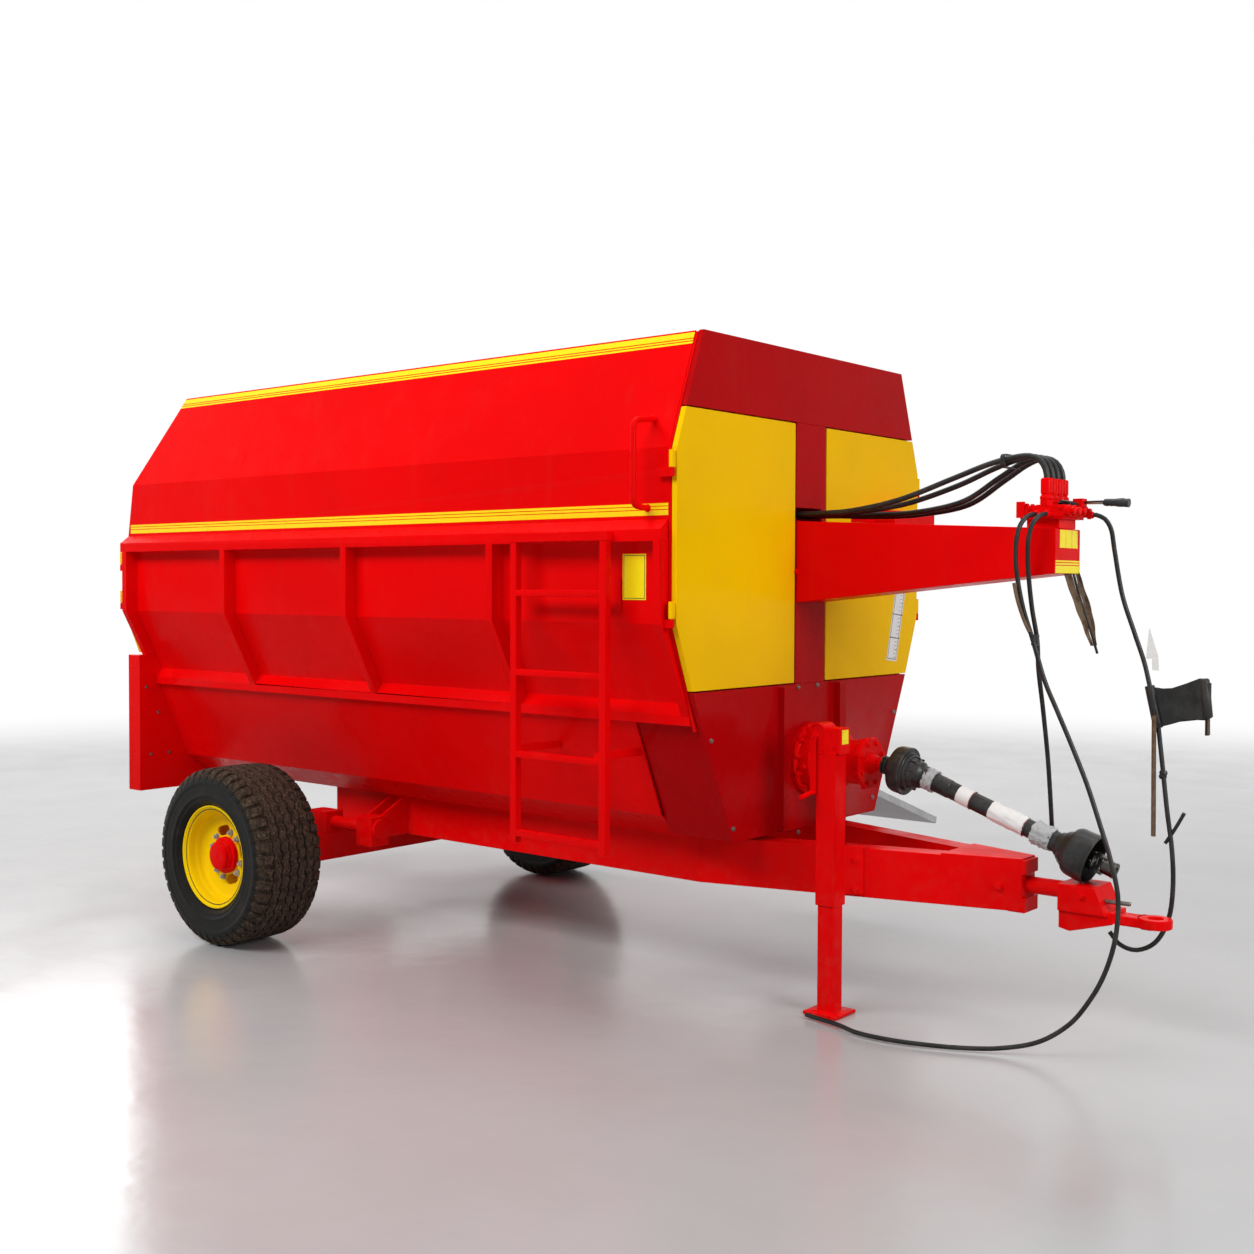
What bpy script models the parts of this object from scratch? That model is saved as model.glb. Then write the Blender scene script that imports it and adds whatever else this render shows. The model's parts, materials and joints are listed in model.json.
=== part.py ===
"""Horizontal feed mixer wagon with three augers, built from separate pieces."""

from math import atan2, cos, pi, radians, sin

import bmesh
import bpy
from mathutils import Matrix, Vector

# Overall size, in metres: x runs forward, y to the left, z up
EYE_X, EYE_RADIUS = 1.365, 0.055
REAR_REACH = 3.520          # front face of the body to the rearmost latch
FRONT_X = (REAR_REACH - EYE_X - EYE_RADIUS) / 2
GAP = 0.0003                # between pieces that touch
BITE = 0.003                # how far welded pieces run into one another
CLEAR = 0.005               # between moving pieces
MERGE = 0.00001
SHARP = radians(35)

# Half widths and heights of the body's outline: the heights stretch with the body's own
BEND_HALF = 0.856
TOP_Z, CORNER_Z = 2.470, 0.624
STRETCH = (TOP_Z - CORNER_Z) / 1.846
TOP_HALF = BEND_HALF - 0.151
DOOR_BOTTOM_HALF = BEND_HALF - 0.096
CORNER_HALF = BEND_HALF - 0.347
STRIP_Z = CORNER_Z + 1.571 * STRETCH
BEND_Z = CORNER_Z + 1.424 * STRETCH
KINK_Z = CORNER_Z + 0.806 * STRETCH
DOOR_BOTTOM_Z = CORNER_Z + 0.563 * STRETCH

# Side walls
SHEET = 0.006
RECESS_HALF = BEND_HALF - 0.020
LEDGE_HALF = BEND_HALF + 0.042
LEDGE_ROOT_Z = CORNER_Z + 1.176 * STRETCH
LEDGE_TOP_Z, LEDGE_BOTTOM_Z = LEDGE_ROOT_Z - 0.038, LEDGE_ROOT_Z - 0.080
LIP_HALF = BEND_HALF - 0.126
LIP_ROOT_HALF = LIP_HALF - 0.030
LIP_TOP_Z = CORNER_Z + 0.476 * STRETCH
LIP_BOTTOM_Z, LIP_ROOT_Z = LIP_TOP_Z - 0.035, LIP_TOP_Z + 0.044
RIB_THICKNESS = 0.035
RIB_SHARES = (0.0047, 0.2406, 0.4891, 0.7402, 0.9788)    # of the body's length
SIDE_LINE = (
    (TOP_HALF, TOP_Z),
    (BEND_HALF, BEND_Z),
    (BEND_HALF, LEDGE_ROOT_Z),
    (RECESS_HALF, LEDGE_BOTTOM_Z),
    (RECESS_HALF, KINK_Z),
    (LIP_ROOT_HALF, LIP_ROOT_Z),
    (LIP_ROOT_HALF, LIP_BOTTOM_Z),
)

# Lengthwise places, measured from the front face
BODY_REAR_X = 0.083 - REAR_REACH
REAR_BEND_X = BODY_REAR_X + 0.049
REAR_TOP_X = BODY_REAR_X + 0.286
SIDE_FRONT_X = -0.036
RIB_REAR_EDGES = [BODY_REAR_X * (1 - share) for share in RIB_SHARES]
COVER_DEPTH = 0.022
COVER_SKIN = 0.004
CASE_WALL_X = -0.310
WALL_PLATE = 0.010
ROOF_Z = TOP_Z - 0.008

# Rear housing below the rear doors
HOUSING_FRONT_X, HOUSING_REAR_X = BODY_REAR_X + 0.051, BODY_REAR_X - 0.043
HOUSING_HALF = BEND_HALF - 0.030
HOUSING_BOTTOM_Z, HOUSING_TOP_Z = 0.535, DOOR_BOTTOM_Z + 0.023

# Trough
TROUGH_SHEET = 0.008
TROUGH_TOP_HALF = LIP_ROOT_HALF + 0.012
TROUGH_CORNER_HALF, TROUGH_CORNER_Z = LIP_ROOT_HALF - 0.145, CORNER_Z + 0.073
TROUGH_FLOOR_HALF, TROUGH_FLOOR_Z = TROUGH_CORNER_HALF - 0.135, CORNER_Z - 0.018
TROUGH_LINE = (
    (TROUGH_TOP_HALF, LIP_BOTTOM_Z),
    (TROUGH_CORNER_HALF, TROUGH_CORNER_Z),
    (TROUGH_FLOOR_HALF, TROUGH_FLOOR_Z),
)
TROUGH_FRONT_X = CASE_WALL_X + WALL_PLATE
TROUGH_CORNER = Vector(TROUGH_LINE[1])
SLOPE = (Vector(TROUGH_LINE[0]) - TROUGH_CORNER).normalized()
SLOPE_OUT = Vector((SLOPE.y, -SLOPE.x))

# Augers
MAIN_AXIS_Z = TROUGH_FLOOR_Z + 0.286
MAIN_RADIUS = 0.262
MAIN_TUBE_RADIUS = 0.090
UPPER_AXIS_Y, UPPER_AXIS_Z = BEND_HALF - 0.426, KINK_Z + 0.190
UPPER_RADIUS = UPPER_AXIS_Y - 0.140
MAIN_AXES = ((0.0, MAIN_AXIS_Z),)
UPPER_AXES = ((UPPER_AXIS_Y, UPPER_AXIS_Z), (-UPPER_AXIS_Y, UPPER_AXIS_Z))
UPPER_TUBE_RADIUS = 0.080
AUGER_REAR_X, AUGER_FRONT_X = BODY_REAR_X + 0.077, CASE_WALL_X - 0.035
MAIN_SHAFT_REAR_X = HOUSING_REAR_X + 0.040
MAIN_SHAFT_FRONT_X, UPPER_SHAFT_FRONT_X = CASE_WALL_X + 0.250, CASE_WALL_X + 0.210
SPEED_RATIO = 0.7           # upper augers to main auger
FLIGHT = 0.010
FLIGHT_TURNS = 6
FLIGHT_STEPS = 14
FLIGHT_PHASE = radians(1.3)
SHAFT_RADIUS = 0.035
SHAFT_CLEARANCE = 0.0008    # a faceted shaft still turns in its bore
KNIFE_REACH = 0.020         # past the flight's edge
KNIFE_SPACING = 0.75        # turns
KNIFE_THICKNESS = 0.008
KNIFE_OUTLINE = ((-0.055, -0.040), (-0.010, -0.048), (KNIFE_REACH, -0.012), (0.004, 0.040), (-0.055, 0.034))
SPROCKET_X = (CASE_WALL_X + 0.154, CASE_WALL_X + 0.166)
SPROCKET_TEETH, SPROCKET_PITCH = 21, 0.036
TOOTH = 0.012

# Discharge: distances up the trough's side from its corner, and out from it
OPENING_X = (-0.810, -0.380)
OPENING_UP = (0.070, 0.300)
FRAME_EDGE = 0.018
DOOR_X = (-0.840, -0.350)
DOOR_UP = (0.045, 0.325)
DOOR_OUT = (0.023, 0.033)
SLIDE_GAP = 2 * GAP
FRAME_OUT = DOOR_OUT[0] - SLIDE_GAP
CYLINDER_OUT = 0.085
CYLINDER_UP = (0.420, 0.750)
CYLINDER_RADIUS, CYLINDER_BORE, ROD_RADIUS = 0.030, 0.0155, 0.0125

# Chassis
BEAM_WIDTH, BEAM_HEIGHT = 0.090, 0.180
BEAM_OUTER = 0.376
CHASSIS_BEND_X = -0.250
DRAWBAR_TIP_X, DRAWBAR_TIP_HALF = 0.915, 0.055
TIP_PLATE, TIP_MOUTH_HALF = 0.012, 0.042
CHASSIS_TOP_Z = TROUGH_FLOOR_Z - GAP
CHASSIS_BOTTOM_Z = CHASSIS_TOP_Z - BEAM_HEIGHT
CROSS_WIDTH = 0.090

# Running gear
AXLE_X = BODY_REAR_X + 1.145
CHASSIS_REAR_X = AXLE_X - 0.128
WHEEL_Z = 0.385
AXLE_TOP_Z, AXLE_BOTTOM_Z, AXLE_DEPTH, AXLE_HALF = 0.420, 0.300, 0.140, 0.820
TYRE_RADIUS = WHEEL_Z
TYRE_HALF_WIDTH = 0.168
TYRE_Y = 1.020
TYRE_STEPS = 36
BEAD_RADIUS = 0.203
RIM_HALF_WIDTH = 0.143
RIM_FLANGE_RADIUS = 0.2225
RIM_SHEET = 0.008
DISC_OFFSET = 0.055
HUB_RADIUS, HUB_INNER_Y, HUB_OUTER_Y = 0.070, 0.845, 1.140
HUB_FLANGE_RADIUS, HUB_FLANGE_Y, HUB_CAP_RADIUS = 0.079, (1.088, 1.106), 0.060
SPINDLE_RADIUS, SPINDLE_END_Y = 0.034, 1.115
SPINDLE_BORE = SPINDLE_RADIUS + SHAFT_CLEARANCE
HAND_HOLES, HAND_HOLE_CIRCLE, HAND_HOLE_RADIUS, HAND_HOLE_LENGTH = 4, 0.107, 0.021, 0.088
HAND_HOLE_PHASE = radians(15.6)
WEIGH_BAR_Y, WEIGH_BAR_Z, WEIGH_BAR_RADIUS = 0.550, 0.470, 0.030
BRACKET_X = (AXLE_X + 0.282, AXLE_X + 0.385)
BRACKET_Z = (0.395, 0.525)
GUSSET = 0.012
CROSS_MEMBERS = (AXLE_X + 0.192, AXLE_X + 0.992, CHASSIS_BEND_X - 0.200)

# Doors
COLUMN_HALF, COLUMN_DEPTH = 0.105, 0.120
DOOR_INNER_Y = COLUMN_HALF + CLEAR + 0.002
HINGE_Y = BEND_HALF + 0.016
HINGE_RADIUS, HINGE_PIN, HINGE_BORE = 0.010, 0.0065, 0.0073
KNUCKLE = 0.030
REAR_DOOR_FACE_X = BODY_REAR_X - 0.036
FRONT_HINGES = (BEND_Z - 0.043, KINK_Z + 0.050)
REAR_HINGES = (KINK_Z + 0.260, KINK_Z + 0.070)
FRONT_AXIS_X = -COVER_DEPTH / 2
REAR_AXIS_X = REAR_DOOR_FACE_X + COVER_DEPTH / 2
LATCH_Y, LATCH_HEIGHT = (0.040, 0.075), 0.110
REAR_DOOR_Z = (HOUSING_TOP_Z + 0.010, LEDGE_TOP_Z - CLEAR)

# Ladder and grab handle
LADDER_X, LADDER_POST = (-0.730, -0.291), 0.030
RUNG_ZS, RUNG_HEIGHT = (0.637, 0.933, 1.240, 1.536), 0.024
BRACE_Z = 0.950
GRAB_XS, GRAB_RADIUS = (-0.204, -0.100), 0.011
GRAB_Z = (LEDGE_ROOT_Z + 0.060, BEND_Z + 0.102)

# Arm, hitch and jack
ARM_ROOT_Z, ARM_TIP_Z = (1.502, 1.816), (1.612, 1.766)
ARM_TIP_X = 1.045
VALVE_X = (0.898, 1.105)
VALVE_Z = (1.800, 1.845)
STUB_X, STUB_TOP_Z, STUB_RADIUS, STUB_COLLAR_RADIUS = 1.000, 1.940, 0.017, 0.0215
SPOOL_YS, SPOOL_RADIUS = (-0.083, 0.075), 0.018
LEVER_X, LEVER_Y, LEVER_Z = (1.095, 1.165, 1.250), 0.020, VALVE_Z[1] + 0.011
SLOT_Z = (1.818, 1.868)
HITCH_BAR_Z, HITCH_BAR_RADIUS = 0.515, 0.030
HITCH_HEAD_X = (1.053, 1.243)
HITCH_HALF = 0.075
EYE_Z, EYE_HOLE = 0.447, 0.026
JACK_X, JACK_Y = 0.279, -0.290
JACK_SIDE, JACK_WALL = 0.080, 0.004
JACK_LEG_SIDE = 0.066
JACK_OUTER_Z = (0.400, 0.960)
JACK_COLLAR = 0.040
JACK_HEAD_TOP_Z = 1.068
JACK_HEAD_X, JACK_HEAD_RADIUS = (-0.070, 0.058), 0.036
JACK_LEG_TOP_Z = 0.600
JACK_FOOT, JACK_FOOT_THICKNESS = 0.140, 0.012
GEARBOX_Z, GEARBOX_SHAFT_X = MAIN_AXIS_Z, 0.330

# Hoses: smooth runs through stops (x, y, z), with straight pieces between the runs
HOLDER_FAR_X = 1.485
HOSE_STEP = 5.0             # between points, in radii
STUB_LEAD = 0.010
BUNDLE_RADIUS, HOSE_RADIUS = 0.010, 0.008
STUB_YS = (-0.080, -0.035, 0.010, 0.055)
BUNDLE_STOPS = (
    ((-0.070, 1.843), (0.100, 1.844), (0.250, 1.852), (0.441, 1.886), (0.641, 1.950), (0.780, 1.995), (0.868, 2.014)),
    ((-0.070, 1.843), (0.100, 1.843), (0.250, 1.848), (0.441, 1.872), (0.641, 1.928), (0.780, 1.982), (0.868, 2.010)),
    ((-0.070, 1.841), (0.100, 1.840), (0.250, 1.838), (0.441, 1.840), (0.641, 1.874), (0.780, 1.952), (0.868, 2.002)),
    ((-0.070, 1.841), (0.100, 1.838), (0.250, 1.832), (0.441, 1.834), (0.641, 1.864), (0.780, 1.945), (0.868, 1.999)),
)
BUNDLE_BEND = ((0.931, 2.019), (0.971, 2.005), (STUB_X - 0.008, 1.978))
HOSE_WAYS = {
    "hose_long": (
        ((0.975, -0.1053, 1.815),),
        (
            (0.975, -0.118, 1.815), (0.966, -0.152, 1.807), (0.953, -0.178, 1.780), (0.945, -0.190, 1.738),
            (0.940, -0.188, 1.680), (0.940, -0.176, 1.606), (0.955, -0.157, 1.493), (0.982, -0.136, 1.384),
            (1.022, -0.128, 1.248), (1.068, -0.130, 1.149), (1.123, -0.135, 1.035), (1.181, -0.140, 0.906),
            (1.231, -0.150, 0.778), (1.270, -0.160, 0.675), (1.297, -0.165, 0.573), (1.303, -0.170, 0.492),
            (1.295, -0.180, 0.394), (1.271, -0.200, 0.295), (1.233, -0.220, 0.210), (1.170, -0.235, 0.120),
            (1.080, -0.272, 0.052), (0.970, -0.325, 0.021), (0.860, -0.385, 0.0138), (0.740, -0.435, 0.0130),
            (0.620, -0.465, 0.0130), (0.500, -0.466, 0.0130), (0.400, -0.430, 0.0130), (0.250, -0.400, 0.0130),
        ),
    ),
    "hose_short": (
        ((1.012, -0.1053, 1.815),),
        (
            (1.012, -0.118, 1.815), (1.005, -0.150, 1.806), (0.992, -0.172, 1.779), (0.982, -0.178, 1.738),
            (0.974, -0.168, 1.680), (0.970, -0.150, 1.606), (0.974, -0.128, 1.493), (0.986, -0.110, 1.384),
            (0.979, -0.080, 1.279), (0.962, 0.000, 1.135), (0.956, 0.060, 0.954), (0.953, 0.098, 0.775),
            (0.953, 0.110, 0.700), (0.961, 0.112, 0.638), (0.984, 0.109, 0.585), (1.026, 0.100, 0.556),
            (1.075, 0.090, 0.550),
        ),
    ),
    "hose_front": (
        ((1.1053, 0.060, 1.815),),
        (
            (1.120, 0.060, 1.815), (1.147, 0.072, 1.800), (1.163, 0.088, 1.762), (1.170, 0.102, 1.690),
            (1.193, 0.117, 1.539), (1.235, 0.120, 1.412), (1.271, 0.120, 1.310), (1.293, 0.120, 1.222),
        ),
        (
            (1.322, 0.120, 1.097), (1.341, 0.113, 0.960), (1.363, 0.100, 0.812), (1.385, 0.090, 0.680),
            (1.392, 0.085, 0.560), (1.382, 0.079, 0.452), (1.345, 0.069, 0.368), (1.285, 0.060, 0.330),
            (1.228, 0.052, 0.340), (1.190, 0.050, 0.380),
        ),
    ),
}

# Paints: colour, roughness, metallic
RED = ((0.62, 0.008, 0.012), 0.32, 0.0)
YELLOW = ((0.86, 0.55, 0.01), 0.32, 0.0)
GREY = ((0.45, 0.46, 0.46), 0.45, 0.8)
STEEL = ((0.32, 0.31, 0.30), 0.40, 0.9)
BLACK = ((0.012, 0.012, 0.012), 0.45, 0.0)
RUBBER = ((0.02, 0.018, 0.016), 0.80, 0.0)

PLANES = {
    "yz": (Matrix(((0, 0, 1, 0), (1, 0, 0, 0), (0, 1, 0, 0), (0, 0, 0, 1))), 1),
    "xz": (Matrix(((1, 0, 0, 0), (0, 0, -1, 0), (0, 1, 0, 0), (0, 0, 0, 1))), -1),
    "xy": (Matrix.Identity(4), 1),
}

for item in list(bpy.data.objects):
    bpy.data.objects.remove(item, do_unlink=True)
HELPERS = bpy.data.collections.new("helpers")
HELPERS.hide_render = True
bpy.context.scene.collection.children.link(HELPERS)


def helper(shape):
    """A hidden piece of a node, from a mesh being edited."""
    bmesh.ops.recalc_face_normals(shape, faces=shape.faces)
    mesh = bpy.data.meshes.new("shape")
    shape.to_mesh(mesh)
    shape.free()
    item = bpy.data.objects.new("shape", mesh)
    item.location.x = FRONT_X
    item.display_type = "WIRE"
    item.hide_render = True
    HELPERS.objects.link(item)
    return item


def box(low, high):
    """A block between two opposite corners."""
    centre = [(a + b) / 2 for a, b in zip(low, high)]
    size = [abs(b - a) for a, b in zip(low, high)]
    shape = bmesh.new()
    bmesh.ops.create_cube(shape, size=1.0, matrix=Matrix.Translation(centre) @ Matrix.Diagonal((*size, 1.0)))
    return helper(shape)


def turned_to(start, along):
    """The frame that puts the origin at a start and its z axis along a direction."""
    turn = Vector((0.0, 0.0, 1.0)).rotation_difference(Vector(along))
    return Matrix.Translation(start) @ turn.to_matrix().to_4x4()


def round_off(item):
    """Smooth shading, with the sharp edges kept."""
    item.data.shade_smooth()
    item.data.set_sharp_from_angle(angle=SHARP)
    return item


def rod(start, end, radius, end_radius=None, sides=20):
    """A round bar or cone between two points."""
    along = Vector(end) - Vector(start)
    shape = bmesh.new()
    bmesh.ops.create_cone(
        shape,
        cap_ends=True,
        segments=sides,
        radius1=radius,
        radius2=radius if end_radius is None else end_radius,
        depth=along.length,
        matrix=turned_to((Vector(start) + Vector(end)) / 2, along),
    )
    return round_off(helper(shape))


def prism(plane, outline, low, high):
    """An outline filled and given depth between two places across its plane."""
    curve = bpy.data.curves.new("outline", "CURVE")
    curve.dimensions = "2D"
    curve.fill_mode = "BOTH"
    curve.extrude = (high - low) / 2
    line = curve.splines.new("POLY")
    line.points.add(len(outline) - 1)
    for point, (across, up) in zip(line.points, outline):
        point.co = (across, up, 0.0, 1.0)
    line.use_cyclic_u = True
    frame, sign = PLANES[plane]
    return from_curve(curve, frame @ Matrix.Translation((0.0, 0.0, sign * (low + high) / 2)))


def from_curve(curve, frame):
    """A helper mesh made from a curve."""
    holder = bpy.data.objects.new("curve", curve)
    shape = bmesh.new()
    shape.from_mesh(bpy.data.meshes.new_from_object(holder))
    bpy.data.objects.remove(holder)
    bmesh.ops.remove_doubles(shape, verts=shape.verts, dist=MERGE)
    shape.transform(frame)
    return helper(shape)


def tube(points, radius, resolution=2):
    """A round bar bent through points."""
    curve = bpy.data.curves.new("tube", "CURVE")
    curve.dimensions = "3D"
    curve.bevel_depth = radius
    curve.bevel_resolution = resolution
    curve.use_fill_caps = True
    line = curve.splines.new("POLY")
    line.points.add(len(points) - 1)
    for point, place in zip(line.points, points):
        point.co = (*place, 1.0)
    return round_off(from_curve(curve, Matrix.Identity(4)))


def screwed(profile, frame, steps, closed=True, pitch=0.0, turns=1, hand=1):
    """A profile of (radius, place along the axis) turned round, rising by the pitch at each turn."""
    mesh = bpy.data.meshes.new("profile")
    edges = [(index, index + 1) for index in range(len(profile) - 1)]
    if closed:
        edges.append((len(profile) - 1, 0))
    mesh.from_pydata([(radius, 0.0, place) for radius, place in profile], edges, [])
    holder = bpy.data.objects.new("profile", mesh)
    HELPERS.objects.link(holder)
    screw = holder.modifiers.new("turn", "SCREW")
    screw.angle = hand * 2 * pi
    screw.steps = screw.render_steps = steps
    screw.screw_offset = pitch
    screw.iterations = turns
    screw.use_merge_vertices = pitch == 0.0
    screw.merge_threshold = MERGE
    bpy.context.view_layer.update()
    shape = bmesh.new()
    shape.from_mesh(bpy.data.meshes.new_from_object(holder.evaluated_get(bpy.context.evaluated_depsgraph_get())))
    bpy.data.objects.remove(holder)
    if pitch:
        for face in list(shape.faces):
            corners = sorted(face.verts, key=lambda vert: (round(vert.co.xy.length, 5), vert.co.z))
            bmesh.utils.face_split(face, corners[0], corners[-1])
        bmesh.ops.holes_fill(shape, edges=[edge for edge in shape.edges if edge.is_boundary], sides=len(profile))
    shape.transform(frame)
    return round_off(helper(shape))


def inset(line, distance, closed=False):
    """A line moved sideways with its corners kept sharp: inward where it runs down the left side."""
    points = [Vector(point) for point in line]
    count = len(points)
    ends = points[1:] + points[:1] if closed else points[1:]
    steps = [b - a for a, b in zip(points, ends)]
    normals = [Vector((step.y, -step.x)).normalized() for step in steps]
    moved = []
    for index, point in enumerate(points):
        before = normals[index - 1] if closed or index else normals[0]
        after = normals[index] if closed or index < count - 1 else normals[-1]
        middle = before + after
        moved.append(tuple(point + middle * (2 * distance / middle.length_squared)))
    return moved


def band(line, thickness):
    """The closed outline of a folded sheet, from its outer line."""
    return list(line) + inset(line, thickness)[::-1]


def both_sides(half):
    """A line down the left side, carried on up the right side."""
    return list(half) + [(-across, up) for across, up in reversed(half)]


def sided(line, side):
    """A line on the left (1) or right (-1) side."""
    return [(side * across, up) for across, up in line]


def grouped(base, operation, others):
    """Adds a Boolean with the other pieces to a node."""
    if not others:
        return
    group = bpy.data.collections.new(f"{base.name} {operation.lower()}")
    HELPERS.children.link(group)
    for other in others:
        HELPERS.objects.unlink(other)
        group.objects.link(other)
    cut = base.modifiers.new(operation.lower(), "BOOLEAN")
    cut.operation = operation
    cut.operand_type = "COLLECTION"
    cut.collection = group
    cut.solver = "EXACT"


def node(name, paint, pieces, cuts=(), within=(), origin=(0.0, 0.0, 0.0)):
    """One named piece of the wagon: shapes welded together, then cut."""
    base = pieces[0]
    base.name = base.data.name = name
    HELPERS.objects.unlink(base)
    bpy.context.scene.collection.objects.link(base)
    base.hide_render = False
    base.display_type = "TEXTURED"
    base.data.transform(Matrix.Translation(-Vector(origin)))
    base.location = Vector(origin) + Vector((FRONT_X, 0.0, 0.0))
    grouped(base, "UNION", pieces[1:])
    grouped(base, "INTERSECT", within)
    grouped(base, "DIFFERENCE", cuts)
    colour, roughness, metallic = paint
    material = bpy.data.materials.new(name)
    material.use_nodes = True
    shader = material.node_tree.nodes["Principled BSDF"]
    shader.inputs["Base Color"].default_value = (*colour, 1.0)
    shader.inputs["Roughness"].default_value = roughness
    shader.inputs["Metallic"].default_value = metallic
    base.data.materials.clear()
    base.data.materials.append(material)
    return base


def named(name, side):
    """A name for the left (1) or right (-1) side."""
    return f"{name}_left" if side > 0 else f"{name}_right"


def rear_wedge():
    """What lies behind the sloping rear edge of the body."""
    lean = (REAR_TOP_X - REAR_BEND_X) / (TOP_Z - BEND_Z)
    over = TOP_Z + WALL_PLATE
    outline = (
        (REAR_TOP_X + lean * WALL_PLATE, over),
        (REAR_BEND_X, BEND_Z),
        (BODY_REAR_X, LEDGE_TOP_Z),
        (BODY_REAR_X - CLEAR, LEDGE_TOP_Z),
        (BODY_REAR_X - CLEAR, over),
    )
    return prism("xz", outline, -LEDGE_HALF - CLEAR, LEDGE_HALF + CLEAR)


def fixed_hinge(side, axis_x, toward, centre_z, pin_z):
    """Knuckle, pin and leaf on the body for one door hinge: toward is 1 at the front and -1 at the rear."""
    low = centre_z - 2 * KNUCKLE - CLEAR / 2
    top = centre_z - KNUCKLE - CLEAR / 2
    leaf_y = sorted((side * (HINGE_Y - 0.006), side * (HINGE_Y + 0.008)))
    root_y = sorted((side * (BEND_HALF - BITE), side * (HINGE_Y + 0.008)))
    leaf_x = sorted((axis_x, axis_x - toward * 0.028))
    root_x = sorted((axis_x - toward * 0.025, axis_x - toward * 0.062))
    return [
        box((root_x[0], root_y[0], low), (root_x[1], root_y[1], top)),
        box((leaf_x[0], leaf_y[0], low), (leaf_x[1], leaf_y[1], top)),
        rod((axis_x, side * HINGE_Y, low), (axis_x, side * HINGE_Y, top), HINGE_RADIUS, sides=12),
        rod((axis_x, side * HINGE_Y, top - BITE), (axis_x, side * HINGE_Y, pin_z), HINGE_PIN, sides=8),
    ]


def side_wall(side):
    """Side sheet with its ledge, lip, ribs and the fixed halves of the hinges."""
    ledge = (
        (BEND_HALF - BITE, LEDGE_ROOT_Z),
        (LEDGE_HALF, LEDGE_TOP_Z),
        (LEDGE_HALF, LEDGE_BOTTOM_Z),
        (RECESS_HALF - BITE, LEDGE_BOTTOM_Z),
    )
    lip = (
        (LIP_ROOT_HALF - BITE, LIP_ROOT_Z),
        (LIP_HALF, LIP_TOP_Z),
        (LIP_HALF, LIP_BOTTOM_Z),
        (LIP_ROOT_HALF - BITE, LIP_BOTTOM_Z),
    )
    rib = (
        (LEDGE_HALF, LEDGE_BOTTOM_Z + BITE),
        (LEDGE_HALF, KINK_Z),
        (LIP_HALF, LIP_TOP_Z - BITE),
        (LIP_ROOT_HALF - BITE, LIP_TOP_Z - BITE),
        (LIP_ROOT_HALF - BITE, LIP_ROOT_Z),
        (RECESS_HALF - BITE, KINK_Z),
        (RECESS_HALF - BITE, LEDGE_BOTTOM_Z + BITE),
    )
    pieces = [prism("yz", sided(band(SIDE_LINE, SHEET), side), BODY_REAR_X, SIDE_FRONT_X)]
    pieces += [prism("yz", sided(line, side), BODY_REAR_X, SIDE_FRONT_X - BITE) for line in (ledge, lip)]
    pieces += [prism("yz", sided(rib, side), edge, edge + RIB_THICKNESS) for edge in RIB_REAR_EDGES]
    for centre_z in FRONT_HINGES:
        pieces += fixed_hinge(side, FRONT_AXIS_X, 1, centre_z, centre_z + KNUCKLE - CLEAR)
    for centre_z in REAR_HINGES:
        pieces += fixed_hinge(side, REAR_AXIS_X, -1, centre_z, centre_z + KNUCKLE - CLEAR)
    notch = box(
        (HOUSING_REAR_X, -LEDGE_HALF - CLEAR, HOUSING_BOTTOM_Z),
        (HOUSING_FRONT_X + GAP, LEDGE_HALF + CLEAR, HOUSING_TOP_Z + GAP),
    )
    node(named("side_wall", side), RED, pieces, [rear_wedge(), notch])


def inner_line():
    """Half the outline inside the side sheets and the trough, from the top down."""
    sides = inset(SIDE_LINE, SHEET + GAP)[:-1]
    floor = inset(both_sides(TROUGH_LINE), TROUGH_SHEET + GAP)[: len(TROUGH_LINE)]
    meeting_y = sides[-1][0]
    corner_y, corner_z = floor[1]
    meeting_z = corner_z + (meeting_y - corner_y) * SLOPE.y / SLOPE.x
    return sides + [(meeting_y, meeting_z)] + floor[1:]


def shaft_bores(x_ends, axes):
    """Round cutters where the auger shafts pass through a wall."""
    radius = SHAFT_RADIUS + SHAFT_CLEARANCE
    return [rod((x_ends[0], y, z), (x_ends[1], y, z), radius) for y, z in axes]


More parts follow.
